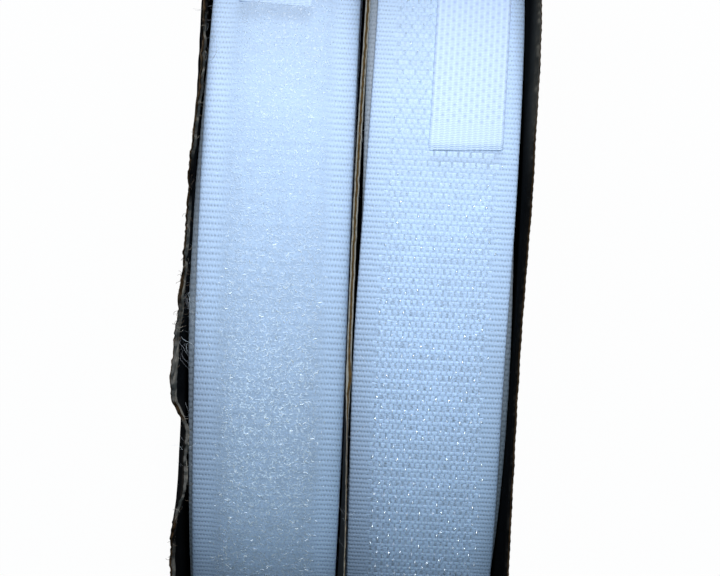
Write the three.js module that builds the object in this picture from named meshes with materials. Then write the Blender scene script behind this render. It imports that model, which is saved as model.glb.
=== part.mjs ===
// A boxed pair of hook and loop tape rolls. A loop roll and a hook roll stand on edge, side by side, in
// the two lanes of a narrow paperboard carton whose lid has been torn away. Each roll lifts out of its
// lane, and its tape turns about its card core.
//
// Frame: X across the lanes, Y along the carton's depth, Z up, origin under the middle of the base.
// Millimetres. Angles on a roll run from its top towards the front of the carton (-Y).

import * as THREE from 'three';

const { degToRad } = THREE.MathUtils;

// Tape, wound with its working side out
const TAPE_WIDTH = 20;
const TAPE_THICKNESS = 1.85;
const TURN_GAP = 0.5;
const TURNS = 21;
const STEPS_PER_TURN = 24;
const TAPE_END_ANGLE = degToRad(303);

// Sideways wander of the turns, counted back from the tape's outer end
const WANDER = 0.4;
const LOOP_WANDER = { wavesPerTurn: 0.5, turnsToPeak: 0.82 };
const HOOK_WANDER = { wavesPerTurn: 1.75, turnsToPeak: 0.963 };

// Card cores
const CORE_BORE_RADIUS = 19;
const CORE_WALL = 1.8;
const CORE_SEAT = 0.3;
const CORE_SIDES = 48;

// Woven strips that lie on the outer turn and stop at the tape's cut end
const STRIP_WIDTH = 10;
const STRIP_THICKNESS = 1.2;
const STRIP_SEAT = 0.3;
const STRIP_BUTT_GAP = 0.3;
const STRIP_STEP_LENGTH = 5;
const LOOP_STRIP = { length: 36, offset: -1.3 };
const HOOK_STRIP = { length: 57, offset: 2.1 };

// Carton board
const BOARD = 0.6;
const CREASE_GAP = 0.1;
const GLUE_LINE = 0.1;
const GLUE_FLAP_WIDTH = 14;
const DUST_FLAP_LENGTH = 30;
const FLANGE_WIDTH = 14;
const FLAP_TAPER = 5;
const PARTITION_DROP = 2;

// Room for the rolls
const LANE_CLEARANCE = 0.2;
const END_PLAY = 2;
const UNDER_ROLL_GAP = 0.3;
const WALL_RISE = 7;

// Torn top edge of the left side panel
const TEAR_DEPTH = 2.4;
const TEAR_WAVE = 46;
const TEAR_RIPPLE = 13;
const TEAR_STEP = 3;

// Sizes that follow from those
const turnPitch = TAPE_THICKNESS + TURN_GAP;
const coreRadius = CORE_BORE_RADIUS + CORE_WALL;
const firstTurnRadius = coreRadius + CORE_SEAT;
const rollRadius = firstTurnRadius + turnPitch * TURNS + TAPE_THICKNESS;
const laneWidth = TAPE_WIDTH + 2 * (WANDER + LANE_CLEARANCE);
const laneCentre = (BOARD + laneWidth) / 2;
const innerHalfWidth = BOARD / 2 + laneWidth;
const innerHalfDepth = rollRadius + END_PLAY;
const innerFlapBottom = BOARD + GLUE_LINE;
const floorTop = innerFlapBottom + BOARD;
const dustFlapBottom = floorTop + GLUE_LINE;
const dustFlapTop = dustFlapBottom + BOARD;
const rollAxisHeight = floorTop + UNDER_ROLL_GAP + rollRadius;
const wallTop = rollAxisHeight + rollRadius + WALL_RISE;
const partitionTop = wallTop - PARTITION_DROP;

function boardMaterial(color) {
  return new THREE.MeshStandardMaterial({ color, roughness: 0.85, metalness: 0 });
}

function clothMaterial(color) {
  return new THREE.MeshStandardMaterial({ color, roughness: 0.95, metalness: 0 });
}

// Flat outlines, as points (u, v) in the plane of a board

function rectangle(u0, v0, u1, v1) {
  return [[u0, v0], [u1, v0], [u1, v1], [u0, v1]];
}

// A flap whose far edge, at v1, is shorter than its crease by the taper at each end
function taperedFlap(u0, v0, u1, v1) {
  const taper = Math.sign(u1 - u0) * FLAP_TAPER;
  return [[u0, v0], [u1, v0], [u1 - taper, v1], [u0 + taper, v1]];
}

function tornHeight(y) {
  const wave = Math.sin((2 * Math.PI * y) / TEAR_WAVE);
  const ripple = Math.sin((2 * Math.PI * y) / TEAR_RIPPLE);
  return wallTop - TEAR_DEPTH * (0.5 + 0.35 * wave + 0.15 * ripple);
}

function tornSideOutline(halfDepth) {
  const steps = Math.ceil((2 * halfDepth) / TEAR_STEP);
  const outline = [[-halfDepth, 0], [halfDepth, 0]];
  for (let i = 0; i <= steps; i += 1) {
    const y = halfDepth - (2 * halfDepth * i) / steps;
    outline.push([y, tornHeight(y)]);
  }
  return outline;
}

// The partition stands on the floor between the dust flaps and passes over them at each end
function partitionOutline() {
  const end = innerHalfDepth - GLUE_LINE;
  const step = innerHalfDepth - CREASE_GAP - DUST_FLAP_LENGTH - CREASE_GAP;
  const foot = floorTop + GLUE_LINE;
  const overFlap = dustFlapTop + GLUE_LINE;
  return [
    [-end, overFlap], [-step, overFlap], [-step, foot],
    [step, foot], [step, overFlap], [end, overFlap],
    [end, partitionTop], [-end, partitionTop],
  ];
}

// Each plane's outline axes, followed by the axis that the board's thickness runs along
const PLANES = {
  xy: new THREE.Matrix4(),
  yz: new THREE.Matrix4().set(0, 0, 1, 0, 1, 0, 0, 0, 0, 1, 0, 0, 0, 0, 0, 1),
  zx: new THREE.Matrix4().set(0, 1, 0, 0, 0, 0, 1, 0, 1, 0, 0, 0, 0, 0, 0, 1),
};
const THICKNESS_AXIS = { xy: 'z', yz: 'x', zx: 'y' };

function board(name, plane, outline, from, color) {
  const shape = new THREE.Shape(outline.map(([u, v]) => new THREE.Vector2(u, v)));
  const geometry = new THREE.ExtrudeGeometry(shape, { depth: BOARD, bevelEnabled: false });
  geometry.applyMatrix4(PLANES[plane]);
  const mesh = new THREE.Mesh(geometry, boardMaterial(color));
  mesh.name = name;
  mesh.position[THICKNESS_AXIS[plane]] = from;
  return mesh;
}

function makeCarton() {
  const carton = new THREE.Group();
  const outerHalfDepth = innerHalfDepth + BOARD;
  const flapHalfWidth = innerHalfWidth - CREASE_GAP;
  const flapHalfDepth = innerHalfDepth - CREASE_GAP;
  const sideRectangle = rectangle(-outerHalfDepth, 0, outerHalfDepth, wallTop);
  const endRectangle = rectangle(0, -flapHalfWidth, wallTop, flapHalfWidth);
  const baseRectangle = rectangle(-flapHalfWidth, -flapHalfDepth, flapHalfWidth, flapHalfDepth);
  const dustReach = flapHalfDepth - DUST_FLAP_LENGTH;
  const frontDust = taperedFlap(-flapHalfWidth, -flapHalfDepth, flapHalfWidth, -dustReach);
  const rearDust = taperedFlap(-flapHalfWidth, flapHalfDepth, flapHalfWidth, dustReach);
  const glueFlapFoot = dustFlapTop + GLUE_LINE;
  const glueFlap = taperedFlap(glueFlapFoot, flapHalfWidth, wallTop, flapHalfWidth - GLUE_FLAP_WIDTH);
  const againstRear = innerHalfDepth - GLUE_LINE - BOARD;
  carton.add(
    board('left_side_panel', 'yz', tornSideOutline(outerHalfDepth), -innerHalfWidth - BOARD, 0xd9d6cf),
    board('right_side_panel', 'yz', sideRectangle, innerHalfWidth, 0xd6d3cc),
    board('front_panel', 'zx', endRectangle, -outerHalfDepth, 0xdad7d0),
    board('rear_panel', 'zx', endRectangle, innerHalfDepth, 0xd8d5ce),
    board('glue_flap', 'zx', glueFlap, againstRear, 0xc9c2b4),
    board('base_outer_flap', 'xy', baseRectangle, 0, 0xd7d4cd),
    board('base_inner_flap', 'xy', baseRectangle, innerFlapBottom, 0xcfcbc2),
    board('base_dust_flap_front', 'xy', frontDust, dustFlapBottom, 0xcdc9c0),
    board('base_dust_flap_rear', 'xy', rearDust, dustFlapBottom, 0xccc8bf),
  );
  return carton;
}

function makePartition() {
  const partition = new THREE.Group();
  const foot = dustFlapTop + GLUE_LINE;
  const near = BOARD / 2 + CREASE_GAP;
  const far = near + FLANGE_WIDTH;
  const frontFlange = taperedFlap(foot, near, partitionTop, far);
  const rearFlange = taperedFlap(partitionTop, -near, foot, -far);
  const againstFront = -innerHalfDepth + GLUE_LINE;
  const againstRear = innerHalfDepth - GLUE_LINE - BOARD;
  partition.add(
    board('partition_panel', 'yz', partitionOutline(), -BOARD / 2, 0xc9b79b),
    board('partition_front_flange', 'zx', frontFlange, againstFront, 0xc7b599),
    board('partition_rear_flange', 'zx', rearFlange, againstRear, 0xc5b397),
  );
  return partition;
}

// A card tube about the roll's axis, which lies along X
function makeCore(name, color) {
  const half = TAPE_WIDTH / 2;
  const profile = [
    [CORE_BORE_RADIUS, -half], [coreRadius, -half], [coreRadius, half],
    [CORE_BORE_RADIUS, half], [CORE_BORE_RADIUS, -half],
  ].map(([radius, along]) => new THREE.Vector2(radius, along));
  const geometry = new THREE.LatheGeometry(profile, CORE_SIDES);
  geometry.applyMatrix4(PLANES.zx);
  const mesh = new THREE.Mesh(geometry, boardMaterial(color));
  mesh.name = name;
  return mesh;
}

// A flat band bent round the X axis. Each section has an angle, an inner and an outer radius, a middle
// along X and a width; consecutive sections are joined by four faces and the two ends are closed.
function bandGeometry(sections) {
  const positions = [];
  const indices = [];
  for (const { angle, inner, outer, middle, width } of sections) {
    const left = middle - width / 2;
    const right = middle + width / 2;
    const corners = [[left, inner], [left, outer], [right, outer], [right, inner]];
    for (const [x, radius] of corners) {
      positions.push(x, -radius * Math.sin(angle), radius * Math.cos(angle));
    }
  }
  const quad = (a, b, c, d) => indices.push(a, b, c, a, c, d);
  quad(0, 1, 2, 3);
  for (let i = 0; i < sections.length - 1; i += 1) {
    for (let side = 0; side < 4; side += 1) {
      const next = (side + 1) % 4;
      quad(4 * i + side, 4 * i + 4 + side, 4 * i + 4 + next, 4 * i + next);
    }
  }
  const last = 4 * (sections.length - 1);
  quad(last + 3, last + 2, last + 1, last);
  const geometry = new THREE.BufferGeometry();
  geometry.setAttribute('position', new THREE.Float32BufferAttribute(positions, 3));
  geometry.setIndex(indices);
  geometry.computeVertexNormals();
  return geometry;
}

// Inner radius of the tape, a given number of turns before its outer end
function tapeRadius(turnsFromEnd) {
  return firstTurnRadius + turnPitch * (TURNS - turnsFromEnd);
}

function tapeMiddle({ wavesPerTurn, turnsToPeak }, turnsFromEnd) {
  return WANDER * Math.cos(2 * Math.PI * wavesPerTurn * (turnsFromEnd - turnsToPeak));
}

// The tape's one unbroken spiral, from its inner end to its outer end
function windingSections(wander) {
  const steps = TURNS * STEPS_PER_TURN;
  const sections = [];
  for (let i = 0; i <= steps; i += 1) {
    const turnsFromEnd = (steps - i) / STEPS_PER_TURN;
    const inner = tapeRadius(turnsFromEnd);
    sections.push({
      angle: TAPE_END_ANGLE - 2 * Math.PI * turnsFromEnd,
      inner,
      outer: inner + TAPE_THICKNESS,
      middle: tapeMiddle(wander, turnsFromEnd),
      width: TAPE_WIDTH,
    });
  }
  return sections;
}

// Points at the section corners and half way between them, on the inner or the outer side of a band
function sidePoints(sections, side) {
  const points = sections.map((section) => new THREE.Vector2(
    -section[side] * Math.sin(section.angle),
    section[side] * Math.cos(section.angle),
  ));
  const middles = points.slice(1).map((point, i) => point.clone().add(points[i]).multiplyScalar(0.5));
  return points.slice(1).flatMap((point, i) => [middles[i], point]);
}

// Least distance from the inner side of each turn to the outer side of the turns at least half a turn on
function leastTurnGap(sections) {
  const innerSide = sidePoints(sections, 'inner');
  const outerSide = sidePoints(sections, 'outer');
  let least = Infinity;
  for (let i = 0; i < innerSide.length; i += 1) {
    for (let j = 0; j <= i - STEPS_PER_TURN; j += 1) {
      least = Math.min(least, innerSide[i].distanceTo(outerSide[j]));
    }
  }
  return least;
}

function makeWinding(name, wander, color) {
  const sections = windingSections(wander);
  console.log(`${name}: least gap between turns ${leastTurnGap(sections).toFixed(2)} mm`);
  const mesh = new THREE.Mesh(bandGeometry(sections), clothMaterial(color));
  mesh.name = name;
  return mesh;
}

// The strip starts at the tape's cut end and lies on the turn that the end has just passed over
function makeStrip(name, { length, offset }, wander, color) {
  const seatRadius = tapeRadius(1) + TAPE_THICKNESS + STRIP_SEAT;
  const startAngle = STRIP_BUTT_GAP / seatRadius;
  const endAngle = startAngle + length / seatRadius;
  const steps = Math.ceil(length / STRIP_STEP_LENGTH);
  const sections = [];
  for (let i = 0; i <= steps; i += 1) {
    const pastEnd = startAngle + ((endAngle - startAngle) * i) / steps;
    const turnsFromEnd = 1 - pastEnd / (2 * Math.PI);
    const inner = tapeRadius(turnsFromEnd) + TAPE_THICKNESS + STRIP_SEAT;
    sections.push({
      angle: TAPE_END_ANGLE + pastEnd,
      inner,
      outer: inner + STRIP_THICKNESS,
      middle: offset + tapeMiddle(wander, turnsFromEnd),
      width: STRIP_WIDTH,
    });
  }
  const mesh = new THREE.Mesh(bandGeometry(sections), clothMaterial(color));
  mesh.name = name;
  return mesh;
}

function makeRoll(kind, side, wander, strip, tapeColor) {
  const roll = new THREE.Group();
  roll.position.set(side * laneCentre, 0, rollAxisHeight);
  roll.add(
    makeCore(`${kind}_core`, 0xb79f7d),
    makeWinding(`${kind}_winding`, wander, tapeColor),
    makeStrip(`${kind}_end_strip`, strip, wander, 0xe4f2ff),
  );
  return roll;
}

const tapeRolls = new THREE.Group();
tapeRolls.add(
  makeCarton(),
  makePartition(),
  makeRoll('loop', -1, LOOP_WANDER, LOOP_STRIP, 0xc4dcf6),
  makeRoll('hook', 1, HOOK_WANDER, HOOK_STRIP, 0xc0dbf6),
);

export default tapeRolls;
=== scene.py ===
"""Looks of a boxed pair of hook and loop tape rolls.

Two rolls of white woven tape, one of loops and one of hooks, stand side by side in the two lanes of a
paperboard carton whose lid has been torn away. The board walls, the partition, the card tubes, the tapes
and the narrow end strips are made here round the fixed frame. Sizes are in millimetres until a mesh is
made of them, and a mesh is in metres.
"""

import logging
import math
from collections.abc import Callable, Mapping, Sequence
from dataclasses import dataclass, field
from enum import Enum

import bpy
import numpy as np
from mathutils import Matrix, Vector


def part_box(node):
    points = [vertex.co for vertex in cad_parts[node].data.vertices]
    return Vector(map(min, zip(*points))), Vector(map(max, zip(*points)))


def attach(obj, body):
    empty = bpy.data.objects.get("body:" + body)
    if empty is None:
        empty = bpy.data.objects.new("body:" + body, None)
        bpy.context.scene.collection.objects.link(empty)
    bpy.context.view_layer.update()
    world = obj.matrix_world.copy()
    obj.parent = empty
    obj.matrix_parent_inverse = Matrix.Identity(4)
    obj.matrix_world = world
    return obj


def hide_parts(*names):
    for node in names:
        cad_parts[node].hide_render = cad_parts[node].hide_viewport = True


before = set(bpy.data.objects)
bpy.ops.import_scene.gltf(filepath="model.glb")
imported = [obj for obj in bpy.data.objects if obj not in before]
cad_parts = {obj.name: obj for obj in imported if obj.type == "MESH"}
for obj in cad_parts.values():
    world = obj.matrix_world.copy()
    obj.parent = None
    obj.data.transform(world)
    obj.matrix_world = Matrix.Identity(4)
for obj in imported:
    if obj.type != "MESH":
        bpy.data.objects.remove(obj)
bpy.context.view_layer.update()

LOG = logging.getLogger("tape_rolls")

MM = 0.001
FULL_TURN = 2.0 * math.pi
OPAQUE = 1.0
MIX_FACTOR = 0
MIX_FIRST_COLOUR = 6
MIX_SECOND_COLOUR = 7
MIX_COLOUR_RESULT = 2

Colour = tuple[float, float, float, float]


def colour(red: float, green: float, blue: float) -> Colour:
    """An opaque linear colour."""
    return (red, green, blue, OPAQUE)


def first_in(operation: str) -> Callable[..., "Flow"]:
    """A method of Flow that adds a Math node with the flow as its first operand."""
    return lambda flow, *others: flow.math(operation, flow, *others)


def second_in(operation: str) -> Callable[["Flow", "Term"], "Flow"]:
    """A method of Flow that adds a Math node with the flow as its second operand."""
    return lambda flow, other: flow.math(operation, other, flow)


class Flow:
    """One output socket of a node graph, with the arithmetic that its formulas use."""

    def __init__(self, graph: "Graph", socket: bpy.types.NodeSocket) -> None:
        """Wraps an output socket of the graph."""
        self.graph = graph
        self.socket = socket

    def math(self, operation: str, *terms: "Term") -> "Flow":
        """Adds a Math node with these operands."""
        return self.graph.add("ShaderNodeMath", {"operation": operation}, dict(enumerate(terms)))

    __add__ = first_in("ADD")
    __radd__ = second_in("ADD")
    __sub__ = first_in("SUBTRACT")
    __rsub__ = second_in("SUBTRACT")
    __mul__ = first_in("MULTIPLY")
    __rmul__ = second_in("MULTIPLY")
    __truediv__ = first_in("DIVIDE")
    __pow__ = first_in("POWER")
    __abs__ = first_in("ABSOLUTE")
    sine = first_in("SINE")
    cosine = first_in("COSINE")
    floor = first_in("FLOOR")
    fraction = first_in("FRACT")
    least = first_in("MINIMUM")
    most = first_in("MAXIMUM")

    def ease(self, start: float, end: float) -> "Flow":
        """Rises smoothly from 0 at start to 1 at end, or falls where end is the smaller."""
        span = {"Value": self, "From Min": start, "From Max": end}
        return self.graph.add("ShaderNodeMapRange", {"interpolation_type": "SMOOTHSTEP"}, span)

    def wave(self) -> "Flow":
        """1 at each whole number and 0 half-way between two."""
        return (self * FULL_TURN).cosine() * 0.5 + 0.5

    def stagger(self) -> "Flow":
        """0 past an even whole number and a half past an odd one."""
        return (self.floor() * 0.5).fraction()


Term = Flow | float | int | str | bool | Sequence[float] | bpy.types.ID


class Graph:
    """A node tree that grows by one method and by the arithmetic of its flows."""

    def __init__(self, tree: bpy.types.NodeTree) -> None:
        """Wraps a node tree."""
        self.tree = tree

    def feed(self, socket: bpy.types.NodeSocket, value: Term) -> None:
        """Links a flow to an input socket, or sets the socket's own value."""
        if isinstance(value, Flow):
            self.tree.links.new(value.socket, socket)
        else:
            socket.default_value = value

    def add(
        self,
        kind: str,
        settings: Mapping[str, object] | None = None,
        sockets: Mapping[str | int, Term] | None = None,
        output: str | int = 0,
    ) -> Flow:
        """Adds one node.

        Args:
            kind: The node's type.
            settings: Its properties, which are set first.
            sockets: The values or links of its inputs, by name or by place.
            output: The output that is wanted, by name or by place.

        Returns:
            That output.
        """
        node = self.tree.nodes.new(kind)
        for name, value in (settings or {}).items():
            setattr(node, name, value)
        for name, value in (sockets or {}).items():
            self.feed(node.inputs[name], value)
        return Flow(self, node.outputs[output])

    def parts(self, vector: Flow) -> tuple[Flow, ...]:
        """A vector's three numbers."""
        split = self.add("ShaderNodeSeparateXYZ", sockets={"Vector": vector}).socket.node
        return tuple(Flow(self, output) for output in split.outputs)

    def join(self, across: Term, along: Term, up: Term = 0.0) -> Flow:
        """A vector of three numbers."""
        return self.add("ShaderNodeCombineXYZ", sockets={"X": across, "Y": along, "Z": up})

    def scaled(self, vector: Term, factor: Term) -> Flow:
        """A vector made longer or shorter by a number."""
        return self.add("ShaderNodeVectorMath", {"operation": "SCALE"}, {0: vector, "Scale": factor})

    def stretch(self, vector: Flow, by: Sequence[float]) -> Flow:
        """A vector whose axes are scaled one by one."""
        return self.add("ShaderNodeVectorMath", {"operation": "MULTIPLY"}, {0: vector, 1: by})

    def blend(self, first: Flow | Colour, second: Flow | Colour, share: Flow) -> Flow:
        """A colour that goes from first to second as share goes from 0 to 1."""
        sockets = {MIX_FACTOR: share, MIX_FIRST_COLOUR: first, MIX_SECOND_COLOUR: second}
        return self.add("ShaderNodeMix", {"data_type": "RGBA"}, sockets, MIX_COLOUR_RESULT)


class Paint(Graph):
    """The node graph of one material."""

    def __init__(self, name: str) -> None:
        """Starts a material with one Principled shader."""
        self.material = bpy.data.materials.new(name)
        self.material.use_nodes = True
        super().__init__(self.material.node_tree)
        self.shader = next(node for node in self.tree.nodes if node.type == "BSDF_PRINCIPLED")

    def dress(self, sockets: Mapping[str, Term]) -> bpy.types.Material:
        """Feeds the shader's sockets and gives the finished material."""
        for name, value in sockets.items():
            self.feed(self.shader.inputs[name], value)
        return self.material

    def surface(self, tone: Flow, dull: Flow, normal: Flow, more: Mapping[str, Term]) -> bpy.types.Material:
        """The finished material of this colour, roughness and normal, with more sockets by name."""
        return self.dress({"Base Color": tone, "Roughness": dull, "Normal": normal, **more})

    def mark(self, name: str, output: str = "Fac") -> Flow:
        """A number, or another output, of what the mesh carries under this name."""
        return self.add("ShaderNodeAttribute", {"attribute_name": name}, output=output)

    def place(self) -> Flow:
        """The point on the piece, in millimetres."""
        return self.scaled(self.add("ShaderNodeTexCoord", output="Object"), 1.0 / MM)

    def noise(self, vector: Flow, per_mm: float, detail: float = 2.0) -> Flow:
        """Cloudy noise from 0 to 1 with that many waves a millimetre."""
        return self.add("ShaderNodeTexNoise", sockets={"Vector": vector, "Scale": per_mm, "Detail": detail})

    def shade(self, tone: Flow | Colour, factor: Flow) -> Flow:
        """A colour made lighter or darker by a number."""
        return self.scaled(tone if isinstance(tone, Flow) else tone[:3], factor)

    def bump(self, height: Flow, depth: float) -> Flow:
        """A normal that follows a height from 0 to 1, which stands for depth millimetres."""
        return self.add("ShaderNodeBump", sockets={"Height": height, "Distance": depth * MM}, output="Normal")


class Growth(Graph):
    """A Geometry Nodes tree with named inputs, whose result becomes a plain mesh."""

    def __init__(self, name: str, sizes: Mapping[str, float]) -> None:
        """Starts a tree.

        Args:
            name: The tree's name.
            sizes: Its named inputs and their values.
        """
        super().__init__(bpy.data.node_groups.new(name, "GeometryNodeTree"))
        self.values: dict[str, Term] = dict(sizes)
        self.identifiers: dict[str, str] = {}
        self._declare("Geometry", "NodeSocketGeometry")
        self.tree.interface.new_socket("Geometry", in_out="OUTPUT", socket_type="NodeSocketGeometry")
        for size in sizes:
            self._declare(size, "NodeSocketFloat")
        self._declare("Material", "NodeSocketMaterial")
        self.inlet = self.tree.nodes.new("NodeGroupInput")
        self.outlet = self.tree.nodes.new("NodeGroupOutput")

    def _declare(self, name: str, kind: str) -> None:
        """Adds one input to the tree's interface."""
        item = self.tree.interface.new_socket(name, in_out="INPUT", socket_type=kind)
        self.identifiers[name] = item.identifier

    def given(self, name: str) -> Flow:
        """The tree's input of that name."""
        return Flow(self, self.inlet.outputs[name])

    def mark(self, name: str, kind: str = "FLOAT") -> Flow:
        """A value that the points carry under this name."""
        return self.add("GeometryNodeInputNamedAttribute", {"data_type": kind}, {"Name": name})

    def store(self, geometry: Flow, name: str, value: Flow) -> Flow:
        """Keeps a vector on each point of a geometry."""
        settings = {"data_type": "FLOAT_VECTOR", "domain": "POINT"}
        sockets = {"Geometry": geometry, "Name": name, "Value": value}
        return self.add("GeometryNodeStoreNamedAttribute", settings, sockets)

    def move(self, geometry: Flow, **sockets: Flow) -> Flow:
        """Gives a geometry's points a new Position or an Offset."""
        return self.add("GeometryNodeSetPosition", sockets={"Geometry": geometry, **sockets})

    def wire(self, points: int, sides: int, radius: Term) -> tuple[Flow, Flow]:
        """A straight curve to be bent, with its length from 0 to 1, and the round section for it.

        Args:
            points: How many points the curve has.
            sides: How many sides the section has.
            radius: The section's radius in metres.

        Returns:
            The curve and the section.
        """
        line = self.add("GeometryNodeCurvePrimitiveLine")
        curve = self.add("GeometryNodeResampleCurve", sockets={"Curve": line, "Count": points})
        ring = {"Resolution": sides, "Radius": radius}
        section = self.add("GeometryNodeCurvePrimitiveCircle", sockets=ring)
        return curve, section

    def sweep(self, curve: Flow, section: Flow) -> Flow:
        """A closed round bar along a curve."""
        sockets = {"Curve": curve, "Profile Curve": section, "Fill Caps": True}
        return self.add("GeometryNodeCurveToMesh", sockets=sockets)

    def along(self) -> Flow:
        """How far along its curve a point is, from 0 to 1."""
        return self.add("GeometryNodeSplineParameter", output="Factor")

    def plant(self, shape: Flow) -> None:
        """Sets a copy of the shape on each point, stood on the point's own axes, and ends the tree."""
        axes = {"primary_axis": "Z", "secondary_axis": "Y"}
        rise_way, run_way, scale = (self.mark(name, "FLOAT_VECTOR") for name in ("rise", "run", "scale"))
        ways = {"Primary Axis": rise_way, "Secondary Axis": run_way}
        turned = self.add("FunctionNodeAxesToRotation", axes, ways)
        sockets = {"Points": self.given("Geometry"), "Instance": shape, "Rotation": turned, "Scale": scale}
        self.end(self.add("GeometryNodeInstanceOnPoints", sockets=sockets))

    def lift_by(self, height: Flow) -> None:
        """Moves points along the lift that they carry, so many millimetres, and ends the tree."""
        offset = self.scaled(self.mark("lift", "FLOAT_VECTOR"), height * MM)
        self.end(self.move(self.given("Geometry"), Offset=offset))

    def end(self, geometry: Flow) -> None:
        """Turns copies into mesh, shades them smooth, gives them the material and ends the tree."""
        real = self.add("GeometryNodeRealizeInstances", sockets={"Geometry": geometry})
        smooth = self.add("GeometryNodeSetShadeSmooth", sockets={"Geometry": real})
        sockets = {"Geometry": smooth, "Material": self.given("Material")}
        dressed = self.add("GeometryNodeSetMaterial", sockets=sockets)
        self.feed(self.outlet.inputs["Geometry"], dressed)

    def grow(self, piece: bpy.types.Object, finish: bpy.types.Material) -> bpy.types.Object:
        """Runs the tree on a piece and leaves the result in it as a plain mesh.

        Args:
            piece: The object that holds the points or the smooth mesh.
            finish: The material of the result.

        Returns:
            The same object.
        """
        modifier = piece.modifiers.new(self.tree.name, "NODES")
        modifier.node_group = self.tree
        for name, value in {**self.values, "Material": finish}.items():
            modifier[self.identifiers[name]] = value
        graph = bpy.context.evaluated_depsgraph_get()
        seed = piece.data
        evaluated = piece.evaluated_get(graph)
        grown = bpy.data.meshes.new_from_object(evaluated, preserve_all_data_layers=True, depsgraph=graph)
        piece.modifiers.remove(modifier)
        piece.data = grown
        bpy.data.meshes.remove(seed)
        return piece


class RibRelief(Growth):
    """Raises the ribs of a woven band along the lift that its points carry."""

    def __init__(self, pitch: float, edge_height: float, field_height: float, field_half: float) -> None:
        """Builds the tree.

        Args:
            pitch: From one rib to the next, along the tape.
            edge_height: How far the ribs of the bare edges stand up.
            field_height: How far every second rib stands up in the middle field.
            field_half: Half the width of the field.
        """
        sizes = {
            "Rib Pitch": pitch,
            "Edge Height": edge_height,
            "Field Height": field_height,
            "Field Half Width": field_half,
        }
        super().__init__("woven_ribs", sizes)
        turn = self.mark("along") / self.given("Rib Pitch") * math.pi
        crest = abs(turn.sine()) ** 0.8
        bar = turn.sine().most(0.0)
        out = abs(self.mark("across")) - self.given("Field Half Width")
        edge = out.ease(-0.5, 0.5)
        inner = bar * self.given("Field Height")
        height = inner + (crest * self.given("Edge Height") - inner) * edge
        self.lift_by(height)


class StripRelief(Growth):
    """Raises the knit columns of an end strip and sinks the staggered holes between their stitches."""

    def __init__(self, column: float, column_height: float, hole_pitch: float, hole_depth: float) -> None:
        """Builds the tree.

        Args:
            column: From one column to the next, across the strip.
            column_height: How far a column stands up.
            hole_pitch: From one hole to the next, along a column.
            hole_depth: How deep a hole is.
        """
        sizes = {
            "Column Pitch": column,
            "Column Height": column_height,
            "Hole Pitch": hole_pitch,
            "Hole Depth": hole_depth,
        }
        super().__init__("strip_columns", sizes)
        columns = self.mark("across") / self.given("Column Pitch")
        rows = self.mark("along") / self.given("Hole Pitch")
        ridge = abs((columns * math.pi).sine()) ** 0.7
        near_row = (rows + columns.stagger()).wave()
        hole = (1 - columns.wave()) ** 3 * near_row ** 4 * self.mark("pierced")
        height = ridge * self.given("Column Height") - hole * self.given("Hole Depth")
        self.lift_by(height)


class WovenFloats(Growth):
    """Sets a low rounded yarn float on each point, wide across the tape, with its rim sunk in the ground."""

    def __init__(self, width: float, length: float, height: float, sink: float) -> None:
        """Builds the tree from a float's width, length and height, and how deep its rim is sunk."""
        sizes = {"Width": width * MM, "Length": length * MM, "Height": height * MM, "Sink": sink * MM}
        super().__init__("yarn_floats", sizes)
        counts = {"Size": (1.0, 1.0, 1.0), "Vertices X": 4, "Vertices Y": 4, "Vertices Z": 2}
        block = self.add("GeometryNodeMeshCube", sockets=counts)
        spot = self.add("GeometryNodeInputPosition")
        x, y, z = self.parts(spot)
        inner = abs(x).ease(0.5, 0.2) * abs(y).ease(0.5, 0.2)
        depth = self.given("Sink")
        up = (z + 0.5) * inner * (self.given("Height") + depth) - depth - (0.5 - z) * 0.02 * MM
        block = self.store(block, "cell", spot)
        wide = x * (3.4 - abs(x) * 4.8) * self.given("Width")
        long = y * (2.0 - abs(y) * 2.0) * self.given("Length")
        shaped = self.join(wide, long, up)
        self.plant(self.move(block, Position=shaped))


class WireHooks(Growth):
    """Sets a bent clear wire hook on each point."""

    def __init__(self, height: float, bend: float, thickness: float) -> None:
        """Builds the tree from a hook's height, the radius of its bend and its thickness."""
        sizes = {"Height": height * MM, "Bend Radius": bend * MM, "Thickness": thickness * MM}
        super().__init__("wire_hooks", sizes)
        curve, section = self.wire(8, 4, self.given("Thickness") * 0.5)
        way = self.along()
        stem = 0.35
        straight = (way / stem).least(1.0)
        turn = ((way - stem) / (1.0 - stem)).most(0.0) * math.radians(215)
        radius = self.given("Bend Radius")
        run = radius * (1 - turn.cosine())
        up = straight * (self.given("Height") - radius) + radius * turn.sine()
        bent = self.move(curve, Position=self.join(0.0, run, up))
        self.plant(self.sweep(self.store(bent, "cell", self.join(way, 0.0)), section))


class PileLoops(Growth):
    """Sets a loose flat fibre, a little arched, on each point."""

    def __init__(self, span: float, height: float, thickness: float) -> None:
        """Builds the tree from an arch's span, its height and the fibre's thickness."""
        sizes = {"Span": span * MM, "Height": height * MM, "Thickness": thickness * MM}
        super().__init__("pile_loops", sizes)
        curve, section = self.wire(4, 3, self.given("Thickness") * 0.5)
        spot = self.add("GeometryNodeInputPosition")
        section = self.move(section, Position=self.stretch(spot, (1.0, 0.25, 1.0)))
        turn = self.along() * math.pi
        run = turn.cosine() * self.given("Span") * -0.5
        sway = (turn * 2).sine() * self.given("Span") * 0.12
        arch = self.move(curve, Position=self.join(sway, run, turn.sine() * self.given("Height")))
        self.plant(self.sweep(arch, section))


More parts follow.
